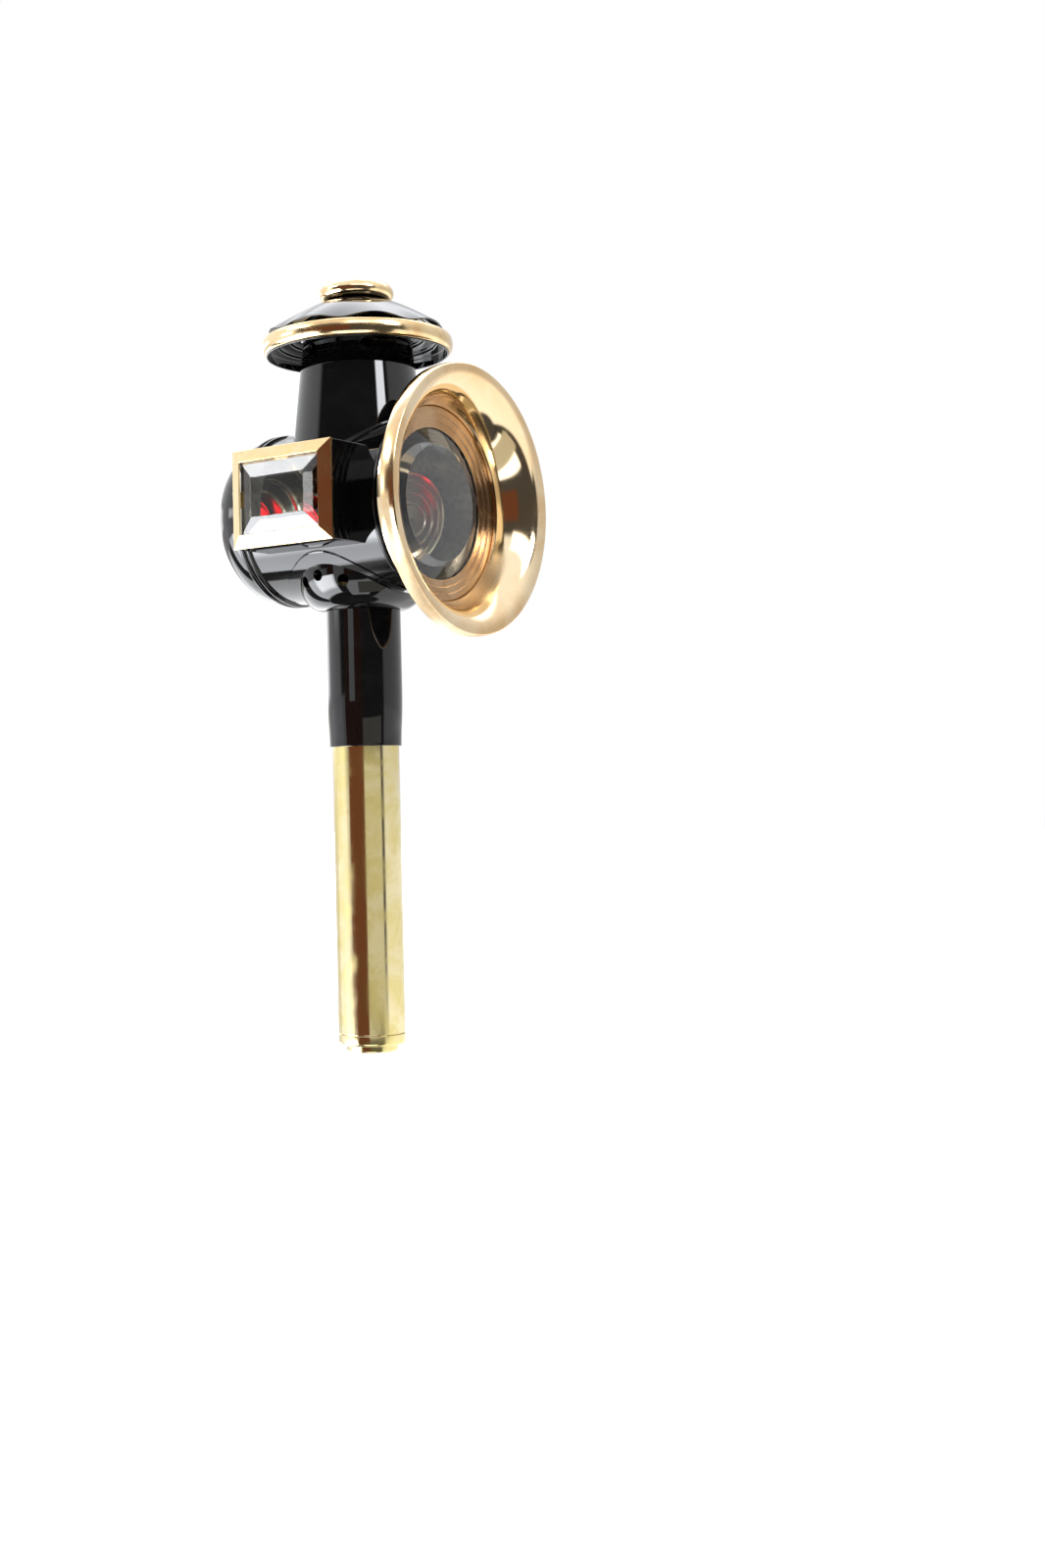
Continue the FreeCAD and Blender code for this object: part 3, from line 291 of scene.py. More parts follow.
def makeLacquer():
    look = {"colour": (0.0022, 0.0021, 0.0022, 1), "haze": (0.0042, 0.0040, 0.0040, 1), "roughness": 0.02,
            "hazeRoughness": 0.05, "peelScale": 420.0, "peelDepth": 0.0012, "dust": (0.16, 0.15, 0.14, 1),
            "dustShare": 0.12}
    material, tree, shader, coords = newMaterial("blackLacquer", {"IOR": 1.52, "Specular IOR Level": 0.5})
    handled = useGroup(tree, patches, {"Vector": coords, "Scale": 55.0, "Cover": 0.42, "Blur": 0.14})["Mask"]
    dust = useGroup(tree, specks, {"Vector": coords, "Scale": 420.0, "Size": 0.09, "Share": 0.10})["Mask"]
    colour = addMix(tree, handled, look["colour"], look["haze"])
    colour = addMix(tree, addMath(tree, "MULTIPLY", dust, look["dustShare"]), colour, look["dust"])
    tree.links.new(colour, shader.inputs["Base Color"])
    rough = addRange(tree, handled, 0.0, 1.0, look["roughness"], look["hazeRoughness"])
    tree.links.new(rough, shader.inputs["Roughness"])
    addBump(tree, shader, addNoise(tree, coords, look["peelScale"], 1.0), look["peelDepth"])
    return material


def makeBrass(name, look):
    material, tree, shader, coords = newMaterial(name, {"Metallic": 1.0})
    dull = useGroup(tree, patches, {"Vector": coords, "Scale": look["patchScale"], "Cover": look["cover"],
                                    "Blur": 0.16})["Mask"]
    spots = useGroup(tree, specks, {"Vector": coords, "Scale": 260.0, "Size": 0.16, "Share": look["spots"]})["Mask"]
    lines = useGroup(tree, scratches, {"Vector": coords, "Stretch": look["stretch"], "Scale": 1100.0})
    rim = look.get("rim")  # the flare's, in mm
    if rim:  # more tarnish towards the rim, and fine rings from spinning
        centred, radius = aroundDrum(tree, coords, (1, 0, 1))
        share = addRange(tree, radius, rim["start"] * mm, rim["end"] * mm, rim["leastDull"], 1.0)
        dull = addMath(tree, "MULTIPLY", dull, share)
        rings = addNode(tree, "ShaderNodeTexNoise", {"W": radius, "Scale": rim["ringScale"], "Detail": 2.0},
                        noise_dimensions="1D").outputs[0]
    colour = addMix(tree, dull, look["clean"], look["dull"])
    colour = addMix(tree, spots, colour, look["spotColour"])
    tree.links.new(colour, shader.inputs["Base Color"])
    rough = addRange(tree, dull, 0.0, 1.0, look["roughness"], look["dullRoughness"])
    rough = addMath(tree, "ADD", rough, addMath(tree, "MULTIPLY", lines["Mask"], 0.05), clamp=True)
    if rim:  # the band round the rim and the throat are duller low down
        upDown = addNode(tree, "ShaderNodeSeparateXYZ", {0: centred}).outputs[2]
        (lowStart, lowEnd), (bandStart, bandEnd), (throatStart, throatEnd) = (
            [place * mm for place in rim[key]] for key in ("low", "band", "throat"))
        low = addRange(tree, upDown, lowStart, lowEnd, 1.0, 0.0)
        band = addMath(tree, "MULTIPLY", low, addRange(tree, radius, bandStart, bandEnd))
        core = addMath(tree, "MULTIPLY", low, addRange(tree, radius, throatStart, throatEnd, rim["throatDull"], 0.0))
        rough = addMath(tree, "ADD", rough, addMath(tree, "MULTIPLY", band, rim["bandDull"]))
        rough = addMath(tree, "ADD", rough, core, clamp=True)
        tree.links.new(addRange(tree, band, 0.0, 1.0, 1.0, rim["bandMetallic"]), shader.inputs["Metallic"])
    tree.links.new(rough, shader.inputs["Roughness"])
    height = lines["Height"]
    if rim:
        height = addMath(tree, "ADD", addMath(tree, "MULTIPLY", height, rim["lineShare"]), rings)
    addBump(tree, shader, height, look["lineDepth"])
    return material


def makePlain(name, sockets, grain=900.0, depth=0.01, spread=0.3):  # small inner pieces
    material, tree, shader, coords = newMaterial(name, sockets)
    noise = addNoise(tree, coords, grain, 4.0)
    base = sockets["Base Color"]
    darker = tuple(c * (1 - spread) for c in base[:3]) + (1,)
    tree.links.new(addMix(tree, addRange(tree, noise, 0.35, 0.7), base, darker), shader.inputs["Base Color"])
    rough = sockets["Roughness"]
    tree.links.new(addRange(tree, noise, 0.3, 0.7, rough * 0.8, rough * 1.3), shader.inputs["Roughness"])
    addBump(tree, shader, noise, depth)
    return material


def makeRinged(name, axis, radii, look):  # a spun reflector, dark between its rings, with a painted highlight along each ring
    material, tree, shader, coords = newMaterial(name, {"Metallic": 1.0, "Roughness": look["roughness"]})
    centred, radius = aroundDrum(tree, coords, (0, 1, 1) if axis == "X" else (1, 0, 1))
    rings = 0.0
    for ring in radii:
        away = addMath(tree, "ABSOLUTE", addMath(tree, "SUBTRACT", radius, ring * mm))
        highlightLine = addRange(tree, away, look["width"] * mm, look["width"] * look["core"] * mm)
        rings = addMath(tree, "MAXIMUM", rings, highlightLine)
    cloud = useGroup(tree, patches, {"Vector": coords, "Scale": 60.0, "Cover": 0.5, "Blur": 0.2})["Mask"]
    colour = addMix(tree, cloud, look["dull"], look["duller"])
    # painted highlight: a near-white line on each ring where its crease would catch the light, laid over the darker
    # tin
    tree.links.new(addMix(tree, rings, colour, look["highlightColour"]), shader.inputs["Base Color"])
    addBump(tree, shader, addNoise(tree, coords, 500.0, 2.0), look["grainDepth"])
    return material


def makeGlass(name, sockets, wave):
    material, tree, shader, coords = newMaterial(name, {"Transmission Weight": 1.0, "IOR": 1.5, **sockets})
    haze = useGroup(tree, patches, {"Vector": coords, "Scale": 70.0, "Cover": 0.4, "Blur": 0.2})["Mask"]
    tree.links.new(addRange(tree, haze, 0.0, 1.0, 0.0, 0.03), shader.inputs["Roughness"])
    addBump(tree, shader, addNoise(tree, coords, 60.0, 1.0), wave)
    return material


blackLacquer = makeLacquer()
flareRim = {"start": 52, "end": 67, "leastDull": 0.25, "ringScale": 2600.0, "lineShare": 0.35, "low": (-30, -15),
            "band": (66.9, 67.2), "bandDull": 0.3, "bandMetallic": 0.5, "throat": (51.0, 54.5), "throatDull": 0.22}
flareBrass = makeBrass("flareBrass", {
    "clean": (0.80, 0.65, 0.43, 1), "dull": (0.66, 0.44, 0.22, 1), "spotColour": (0.42, 0.27, 0.13, 1),
    "patchScale": 20.0, "cover": 0.50, "spots": 0.03, "stretch": (1, 1, 1), "roughness": 0.075,
    "dullRoughness": 0.19, "lineDepth": 0.0011, "rim": flareRim})
polishedBrass = makeBrass("polishedBrass", {
    "clean": (0.78, 0.61, 0.35, 1), "dull": (0.64, 0.43, 0.21, 1), "spotColour": (0.40, 0.25, 0.11, 1),
    "patchScale": 60.0, "cover": 0.46, "spots": 0.04, "stretch": (1, 1, 1), "roughness": 0.13,
    "dullRoughness": 0.24, "lineDepth": 0.0006})
bezelBrass = makeBrass("bezelBrass", {
    "clean": (0.49, 0.32, 0.18, 1), "dull": (0.35, 0.21, 0.11, 1), "spotColour": (0.25, 0.15, 0.08, 1),
    "patchScale": 45.0, "cover": 0.5, "spots": 0.04, "stretch": (1, 1, 1), "roughness": 0.16,
    "dullRoughness": 0.28, "lineDepth": 0.0015})
stemBrass = makeBrass("stemBrass", {
    "clean": (0.80, 0.70, 0.43, 1), "dull": (0.70, 0.59, 0.25, 1), "spotColour": (0.90, 0.84, 0.62, 1),
    "patchScale": 48.0, "cover": 0.5, "spots": 0.05, "stretch": (1, 1, 0.03), "roughness": 0.10,
    "dullRoughness": 0.2, "lineDepth": 0.002})
plainBrass = makeBrass("plainBrass", {
    "clean": (0.80, 0.60, 0.29, 1), "dull": (0.55, 0.38, 0.17, 1), "spotColour": (0.30, 0.20, 0.10, 1),
    "patchScale": 70.0, "cover": 0.55, "spots": 0.1, "stretch": (1, 1, 0.2), "roughness": 0.2,
    "dullRoughness": 0.4, "lineDepth": 0.003})
# the near-white ring colour is a painted highlight for the reflectors' ring creases
ringedTin = {"dull": (0.20, 0.19, 0.14, 1), "duller": (0.12, 0.115, 0.085, 1), "highlightColour": (0.95, 0.92, 0.78, 1),
             "width": 1.5, "core": 0.3, "roughness": 0.15, "grainDepth": 0.002}
rearTin = makeRinged("rearTin", "Y", (17.4, 23.4, 31.4, 41.4), ringedTin)
sideTin = makeRinged("sideTin", "X", (9.2, 14.7, 20.2, 24.6), ringedTin)
innerTin = makePlain("innerTin", {"Base Color": (0.20, 0.19, 0.16, 1), "Metallic": 1.0, "Roughness": 0.36},
                     grain=350.0, depth=0.01, spread=0.35)
steel = makePlain("steel", {"Base Color": (0.42, 0.41, 0.40, 1), "Metallic": 1.0, "Roughness": 0.34})
wax = makePlain("wax", {"Base Color": (0.86, 0.80, 0.66, 1), "Subsurface Weight": 0.25, "Roughness": 0.45},
                grain=220.0, depth=0.05, spread=0.06)
wick = makePlain("wick", {"Base Color": (0.06, 0.05, 0.045, 1), "Roughness": 0.9}, grain=2500.0, depth=0.1)
glassWave = 0.004
clearGlass = makeGlass("clearGlass", {"Base Color": (0.97, 0.985, 0.98, 1)}, glassWave)
redGlass = makeGlass("redGlass", {"Base Color": (0.80, 0.006, 0.012, 1)}, glassWave)
print("materials made:", len(bpy.data.materials))


# Stem

stem = {"radius": 17.0, "spigotRadius": 16.5, "bore": 15.8, "bottom": -144.4, "spigotTop": 62.0, "edge": 0.3}
finishPiece("stemTube", spun([
    (stem["radius"], stem["bottom"], stem["edge"]), (stem["radius"], 0), (stem["spigotRadius"], 0),
    (stem["spigotRadius"], stem["spigotTop"]), (stem["bore"], stem["spigotTop"]), (stem["bore"], stem["bottom"])]),
    [stemBrass], "lamp_body", ["stem_tube"])

socket = {"radius": 19.25, "mouthRadius": 18.3, "mouthHeight": 5.0, "taperHeight": 20.0, "top": 69.6,
          "neckRadius": 18.2, "neckTop": 74.6, "bore": 16.55, "mouthRound": 4.6, "swell": 7.0, "edge": 0.35}
finishPiece("stemSocket", spun([
    (socket["mouthRadius"], 0, socket["edge"]), (socket["mouthRadius"], socket["mouthHeight"], socket["mouthRound"]),
    (socket["radius"], socket["taperHeight"], socket["swell"]), (socket["radius"], socket["top"], socket["edge"]),
    (socket["neckRadius"], socket["top"]), (socket["neckRadius"], socket["neckTop"]),
    (socket["bore"], socket["neckTop"]), (socket["bore"], 0)], roundSteps=10),
    [blackLacquer], "lamp_body", ["stem_socket"])

cap = {"radius": 17.0, "top": -144.7, "underside": -150.0, "edge": 1.5, "discRadius": 13.2, "bottom": -153.5,
       "discEdge": 0.9, "seamEdge": 0.25, "floor": -148.0, "spigot": 14.97, "spigotTop": -134.7, "bore": 14.12}
finishPiece("endCap", spun([
    (0, cap["floor"]), (0, cap["bottom"]), (cap["discRadius"], cap["bottom"], cap["discEdge"]),
    (cap["discRadius"], cap["underside"], softEdge), (cap["radius"], cap["underside"], cap["edge"]),
    (cap["radius"], cap["top"], cap["seamEdge"]), (cap["spigot"], cap["top"]), (cap["spigot"], cap["spigotTop"]),
    (cap["bore"], cap["spigotTop"]), (cap["bore"], cap["floor"])]),
    [stemBrass], "candle_carrier", ["end_cap"])
print("stem made")


# Drum with its beads, openings and domed back

drum = {"radius": 44.0, "wall": 1.0, "front": -43.5, "back": 44.0, "bead": 1.5, "frontBead": -41.3,
        "backBead": 42.1, "beadFoot": 0.35, "chimneyBore": 32.4, "floorHole": 24.0, "steps": 224, "edge": 0.25,
        "cutStart": 20.0, "cutEnd": 60.0, "reach": 70.0, "gap": 0.05}
window = {"y": -0.7, "z": 122.75, "width": 62.0, "height": 48.7, "face": 65.0, "wall": 1.0, "boxEnd": 63.8,
          "member": 6.2, "rise": 3.0, "proud": 0.2, "edge": 0.25, "boxEdge": 0.6, "boxStart": 22.0, "cutEnd": 70.0,
          "cutStart": 15.0, "cutTop": 200.0, "chimneyGap": 0.1}


def beadPoints(centre, radius):  # a half-round bead with small fillets where it leaves the sheet
    points = arcPoints((radius, centre), drum["bead"], -90, 90)
    foot = drum["beadFoot"]
    return [(radius, centre - drum["bead"], foot)] + points[1:-1] + [(radius, centre + drum["bead"], foot)]


def insideDrum(place, normal):  # faces that look towards the drum's axis
    return math.hypot(place.x, place.z - drumHeight) < drum["radius"] - drum["wall"] / 5


def drumBar(radius):  # a solid bar through the drum, to trim what meets it
    return laid(roundBar(radius, (0, 0, -drum["reach"]), (0, 0, drum["reach"]), drum["steps"]), alongDrum)


def saddleFlange(inside, outside, low, high, thickness):  # a collar that follows the drum's curve
    collar = spun([(inside, low), (outside, low), (outside, high), (inside, high)], steps=192)
    return carved(collar, ("INTERSECT", drumBar(drum["radius"] + thickness)))


def radialHole(radius, angle, height, start, end):
    out = Vector((math.cos(math.radians(angle)), math.sin(math.radians(angle)), 0))
    near, far = out * start, out * end
    return "DIFFERENCE", roundBar(radius, (near.x, near.y, height), (far.x, far.y, height), 48)


bore, steps = drum["radius"] - drum["wall"], drum["steps"]
drumShape = laid(spun([
    (bore, drum["back"]), (bore, drum["front"]), (drum["radius"], drum["front"], drum["edge"]),
    *beadPoints(drum["frontBead"], drum["radius"]), *beadPoints(drum["backBead"], drum["radius"]),
    (drum["radius"], drum["back"], drum["edge"])], steps=steps), alongDrum)
halfWidth, halfHeight = window["width"] / 2 - window["wall"], window["height"] / 2 - window["wall"]
start, end = drum["cutStart"], drum["cutEnd"]
drumShape = carved(
    drumShape,
    ("DIFFERENCE", roundBar(drum["chimneyBore"], (0, 0, drumHeight), (0, 0, drumHeight + end), 160)),
    ("DIFFERENCE", roundBar(drum["floorHole"], (0, 0, drumHeight - end), (0, 0, drumHeight - start), 128)),
    ("DIFFERENCE", boxBetween((-end, window["y"] - halfWidth, window["z"] - halfHeight),
                              (-start, window["y"] + halfWidth, window["z"] + halfHeight))))
finishPiece("drumShell", drumShape, [blackLacquer, innerTin], "lamp_body", ["drum_shell"],
            inner=insideDrum)

dome = {"bead": 46.0, "centre": 48.0, "depth": 30.0, "lensHole": 14.0, "wall": 1.0, "points": 28}
domeBack = dome["centre"] + dome["depth"]
domeFloor = domeBack - dome["wall"]


def domeReach(radius):
    return dome["centre"] + dome["depth"] * math.sqrt(1 - (radius / drum["radius"]) ** 2)


def insideDome(place, normal):
    towardsAxis = normal.dot(Vector((place.x, 0, place.z - drumHeight))) < 0
    return insideDrum(place, normal) and normal.y < 0 and towardsAxis and place.y < domeFloor - dome["wall"] / 2


outerDome = ovalPoints((drum["radius"], dome["centre"]), (drum["radius"], domeBack), (0, domeBack), dome["points"])
innerDome = ovalPoints((0, domeFloor), (bore, domeFloor), (bore, dome["centre"]), dome["points"])
outerDome = [p for p in outerDome if p[0] > dome["lensHole"]] + [(dome["lensHole"], domeReach(dome["lensHole"]))]
innerDome = [p for p in innerDome if p[0] > dome["lensHole"]]
finishPiece("rearDome", spun([
    (bore, drum["back"]), (drum["radius"], drum["back"], thinEdge), *beadPoints(dome["bead"], drum["radius"]),
    *outerDome, (dome["lensHole"], domeReach(dome["lensHole"]) - dome["wall"]), *innerDome], steps=steps),
    [blackLacquer, innerTin], "lamp_body", ["rear_dome"], alongDrum, inner=insideDome)

lens = {"radius": 15.5, "edge": 4.6, "front": 70.0, "frontRadius": 14.4, "backRadius": 13.6, "frontRise": 5.0,
        "backRise": 6.4}


def capPoints(radius, base, rise, count=12):  # a round cap of a ball, from the rim to the axis
    ball = (radius * radius + rise * rise) / (2 * abs(rise))
    half = math.degrees(math.asin(radius / ball))
    way = 90 if rise > 0 else -90
    return arcPoints((0, base + rise - math.copysign(ball, rise)), ball, way - math.copysign(half, rise), way, count)


frontCap = capPoints(lens["frontRadius"], lens["front"], -lens["frontRise"])
backCap = capPoints(lens["backRadius"], lens["front"] + lens["edge"], lens["backRise"])
finishPiece("redLens", spun([
    *[(max(r, 0.0), h) for r, h in reversed(frontCap)], (lens["radius"], lens["front"], softEdge),
    (lens["radius"], lens["front"] + lens["edge"], softEdge), *[(max(r, 0.0), h) for r, h in backCap]], steps=96),
    [redGlass], "lamp_body", ["red_lens"], alongDrum)

ring = {"inner": 14.0, "outer": 18.2, "height": 2.9, "edge": 1.2, "gap": 0.1}
ringTop = domeReach(ring["inner"]) + ring["gap"] + ring["height"]
ringFoot = domeReach(ring["outer"]) + ring["gap"]
finishPiece("rearBezel", spun([
    (ring["inner"], domeReach(ring["inner"]) + ring["gap"]), (ring["outer"], ringFoot),
    *ovalPoints((ring["outer"], ringFoot + ring["edge"]), (ring["outer"], ringTop),
                (ring["inner"] + ring["edge"], ringTop), 10),
    (ring["inner"], ringTop - ring["edge"], softEdge)], steps=128),
    [polishedBrass], "lamp_body", ["rear_bezel"], alongDrum)
print("drum made")


# Reflectors

mirror = {"wall": 0.6, "rim": 42.7, "rimFront": 40.0, "rimFlat": 2.0, "radii": (31.0, 23.0, 17.0),
          "depths": (9.5, 17.0, 22.5), "step": 1.4, "throat": 15.9, "lensGap": 0.1, "crease": 0.5}
frontSide = [(mirror["rim"] - mirror["wall"], mirror["rimFront"]),
             (mirror["rim"] - mirror["wall"], mirror["rimFront"] + mirror["rimFlat"], mirror["crease"])]
for radius, depth in zip(mirror["radii"], mirror["depths"]):
    frontSide.append((radius, mirror["rimFront"] + depth, mirror["crease"]))
    frontSide.append((radius, mirror["rimFront"] + depth + mirror["step"], mirror["crease"]))
throatBack = lens["front"] - mirror["lensGap"]
frontSide.append((mirror["throat"], throatBack - mirror["wall"]))
backSide = [(r + mirror["wall"], y + mirror["wall"]) for r, y, *rest in reversed(frontSide[1:])]
backSide[0] = (mirror["throat"] + mirror["wall"], throatBack)
finishPiece("rearReflector", spun([*frontSide, (mirror["throat"], throatBack), *backSide,
                                   (mirror["rim"], mirror["rimFront"])], steps=160, roundSteps=3),
            [rearTin], "lamp_body", ["rear_reflector"], alongDrum)

dish = {"radius": 25.0, "depth": 6.2, "rings": (10.0, 15.5, 21.0), "ringHeight": 0.9, "ringWidth": 1.6,
        "ringFoot": 0.5, "ringCrown": 0.6, "rimStart": 23.0, "flat": 2.0, "bossRadius": 3.0, "hole": 1.05,
        "wall": 0.6, "seat": 0.1}
rimX = math.sqrt((bore - dish["seat"]) ** 2 - dish["radius"] ** 2) - dish["wall"]
ballRadius = (dish["radius"] ** 2 + dish["depth"] ** 2) / (2 * dish["depth"])
ballCentre = rimX + dish["depth"] - ballRadius


def dishReach(radius):
    return ballCentre + math.sqrt(ballRadius ** 2 - radius ** 2)


dishFront = [(dish["hole"], dishReach(dish["hole"])), (dish["bossRadius"], dishReach(dish["bossRadius"]))]
for radius in dish["rings"]:
    start, middle = radius - dish["ringWidth"], radius - dish["ringWidth"] / 2
    dishFront += [(start - dish["flat"], dishReach(start - dish["flat"])),
                  (start, dishReach(start), dish["ringFoot"]),
                  (middle, dishReach(middle) - dish["ringHeight"], dish["ringCrown"]),
                  (radius, dishReach(radius), dish["ringFoot"])]
dishFront += [(dish["rimStart"], dishReach(dish["rimStart"])), (dish["radius"], rimX)]
dishBack = [(r, x + dish["wall"]) for r, x, *rest in reversed(dishFront[1:])]
dishBack += [(dish["bossRadius"], bore - dish["seat"]), (dish["hole"], bore - dish["seat"])]
finishPiece("sideReflector", spun(dishFront + dishBack, steps=128),
            [sideTin], "lamp_body", ["side_reflector"], acrossDrum)
print("reflectors made")


# Bowl under the drum

bowl = {"radius": 34.0, "footRadius": 20.0, "floor": 69.65, "sideHeight": 89.97, "top": 94.07, "wall": 1.0,
        "hole": 18.25, "flange": 4.0, "flangeLap": 5.0, "flangeHeight": 0.6, "flangeLow": 74.0, "flangeHigh": 110.0,
        "airHole": 2.9, "holeReach": 45.0, "points": 18}
airHoles = [(20.0, 82.45), (-4.5, 85.75), (-23.0, 83.25)]  # turns from the lamp's two sides, with heights
wall = bowl["wall"]
bowlOutside = ovalPoints((bowl["footRadius"], bowl["floor"]), (bowl["radius"], bowl["floor"]),
                         (bowl["radius"], bowl["sideHeight"]), bowl["points"])
bowlInside = ovalPoints((bowl["radius"] - wall, bowl["sideHeight"]), (bowl["radius"] - wall, bowl["floor"] + wall),
                        (bowl["footRadius"], bowl["floor"] + wall), bowl["points"])
bowlShape = spun([(bowl["hole"], bowl["floor"]), *bowlOutside, (bowl["radius"], bowl["top"]),
                  (bowl["radius"] - wall, bowl["top"]), *bowlInside, (bowl["hole"], bowl["floor"] + wall)], steps=192)
drumSpace = drum["radius"] + drum["gap"]
bowlFlange = saddleFlange(bowl["radius"] - bowl["flangeLap"], bowl["radius"] + bowl["flange"], bowl["flangeLow"],
                          bowl["flangeHigh"], bowl["flangeHeight"])
bowlCuts = [("UNION", bowlFlange), ("DIFFERENCE", drumBar(drumSpace))]
for side in (0, 180):
    for angle, height in airHoles:
        bowlCuts.append(radialHole(bowl["airHole"], side + angle, height, 0, bowl["holeReach"]))
finishPiece("bottomBowl", carved(bowlShape, *bowlCuts), [blackLacquer], "lamp_body",
            ["bottom_bowl"])
print("bowl made")


# Chimney, canopy, ring, cover and knob

chimney = {"footHeight": 164.0, "footRadius": 33.3, "top": 212.0, "topRadius": 27.7, "wall": 0.9, "flange": 4.6,
           "flangeHeight": 1.0, "ventRadius": 3.3, "ventHeight": 201.9, "vents": 6, "ventAngle": 45.0, "low": 142.0,
           "flangeHigh": 175.0, "ventStart": 15.0, "ventEnd": 45.0}


def chimneyRadius(height):
    rise = (height - chimney["footHeight"]) / (chimney["top"] - chimney["footHeight"])
    return chimney["footRadius"] + (chimney["topRadius"] - chimney["footRadius"]) * rise


foot, wall, lowRadius = chimney["footRadius"], chimney["wall"], chimneyRadius(chimney["low"])
tube = spun([(lowRadius, chimney["low"]), (chimney["topRadius"], chimney["top"], thinEdge),
             (chimney["topRadius"] - wall, chimney["top"], thinEdge), (lowRadius - wall, chimney["low"])], steps=192)
flange = saddleFlange(foot - wall, foot + chimney["flange"], chimney["low"], chimney["flangeHigh"],
                      chimney["flangeHeight"])
chimneyCuts = [("UNION", flange), ("DIFFERENCE", drumBar(drumSpace))]
for number in range(chimney["vents"]):
    angle = chimney["ventAngle"] + number * 360 / chimney["vents"]
    chimneyCuts.append(radialHole(chimney["ventRadius"], angle, chimney["ventHeight"], chimney["ventStart"],
                                  chimney["ventEnd"]))
finishPiece("chimneyShell", carved(tube, *chimneyCuts), [blackLacquer], "lamp_body", ["chimney"])

canopy = {"wall": 0.8, "hubDrop": 2.2, "hubGap": 0.15, "ledges": (35.5, 41.5), "ledgeHeight": 1.8,
          "slope": 0.8, "lipRadius": 47.3, "lipBottom": 201.7, "lipTop": 209.6, "lipRound": 1.5, "lipCurve": 1.2,
          "lipFoot": 0.5, "crease": 0.45}
wall = canopy["wall"]
collar = chimney["top"] - canopy["hubDrop"]
hub = chimneyRadius(collar) + canopy["hubGap"]
height = chimney["top"] + wall
topSide = [(hub, height), (canopy["ledges"][0], height - canopy["slope"], canopy["crease"])]
height -= canopy["slope"] + canopy["ledgeHeight"]
topSide += [(canopy["ledges"][0], height, canopy["crease"]),
            (canopy["ledges"][1], height - canopy["slope"], canopy["crease"])]
height -= canopy["slope"] + canopy["ledgeHeight"]
lipRoot = canopy["lipRadius"] - canopy["lipRound"] - wall
topSide += [(canopy["ledges"][1], height, canopy["crease"]), (lipRoot, height, softEdge)]
underSide = [(r - wall, z - wall, canopy["crease"]) for r, z, *rest in reversed(topSide[1:])]
underSide[0] = (canopy["lipRadius"] - wall, height - wall, canopy["lipFoot"])
finishPiece("canopyDish", spun([
    *topSide, (lipRoot, canopy["lipTop"], canopy["lipCurve"]), (canopy["lipRadius"], canopy["lipTop"], softEdge),
    (canopy["lipRadius"], canopy["lipBottom"], softEdge),
    (canopy["lipRadius"] - wall, canopy["lipBottom"], softEdge),
    *underSide, (hub + wall, chimney["top"]), (hub + wall, collar), (hub, collar)], steps=192),
    [blackLacquer], "lamp_body", ["canopy"])

halfRound = {"radius": 49.4, "bottom": 202.3, "top": 210.9, "gap": 0.1, "flange": 44.6, "flangeWall": 0.7}
inner = canopy["lipRadius"] + halfRound["gap"]
middle = (halfRound["bottom"] + halfRound["top"]) / 2
under = canopy["lipTop"] + halfRound["gap"]
finishPiece("canopyRing", spun([
    *ovalPoints((inner, halfRound["bottom"]), (halfRound["radius"], halfRound["bottom"]),
                (halfRound["radius"], middle)),
    *ovalPoints((halfRound["radius"], middle), (halfRound["radius"], halfRound["top"]),
                (inner, halfRound["top"]))[1:],
    (halfRound["flange"], under + halfRound["flangeWall"]), (halfRound["flange"], under), (inner, under)],
    steps=224),
    [polishedBrass], "lamp_body", ["canopy_ring"])

cover = {"wall": 0.8, "top": 229.9, "topRadius": 14.0, "rimRadius": 45.6, "rimHeight": 213.6, "lobeDepth": 1.65,
         "lobes": 8, "lobeAngle": 4.3, "curve": 0.72, "rings": 26, "ringSpread": 1.3, "steps": 320, "stud": 2.5}


def coverReach(share, turn):  # the plan radius of the fluted cone at a share of its height
    radius = cover["topRadius"] + (cover["rimRadius"] - cover["topRadius"]) * share ** cover["curve"]
    wave = math.cos(cover["lobes"] * (turn - math.radians(cover["lobeAngle"])))
    return radius + cover["lobeDepth"] * share * share * wave


def shareAtRim(turn):  # where the fluted cone crosses the rim's circle
    low, high = 0.5, 1.5
    for attempt in range(30):
        middle = (low + high) / 2
        if coverReach(middle, turn) < cover["rimRadius"]:
            low = middle
        else:
            high = middle
    return low


coverShape = bmesh.new()
bmesh.ops.create_circle(coverShape, cap_ends=False, segments=cover["steps"], radius=cover["stud"] * mm)
rim = coverShape.edges[:]
for number in range(cover["rings"] + 1):
    grown = bmesh.ops.extrude_edge_only(coverShape, edges=rim)["geom"]
    rim = [item for item in grown if isinstance(item, bmesh.types.BMEdge)]
    for vertex in [item for item in grown if isinstance(item, bmesh.types.BMVert)]:
        turn = math.atan2(vertex.co.y, vertex.co.x)
        share = shareAtRim(turn) * (number / cover["rings"]) ** cover["ringSpread"]
        reach = coverReach(share, turn) if number else cover["topRadius"]
        vertex.co = Vector((reach * math.cos(turn), reach * math.sin(turn),
                            cover["top"] + (cover["rimHeight"] - cover["top"]) * share)) * mm
for vertex in coverShape.verts:
    if vertex.co.z == 0:  # the first circle, round the stud
        vertex.co.z = cover["top"] * mm
bmesh.ops.recalc_face_normals(coverShape, faces=coverShape.faces[:])
if sum(face.normal.z for face in coverShape.faces) < 0:
    bmesh.ops.reverse_faces(coverShape, faces=coverShape.faces[:])
bmesh.ops.solidify(coverShape, geom=coverShape.faces[:], thickness=cover["wall"] * mm)
finishPiece("scallopedCover", coverShape, [blackLacquer], "lamp_body", ["scalloped_cover"])

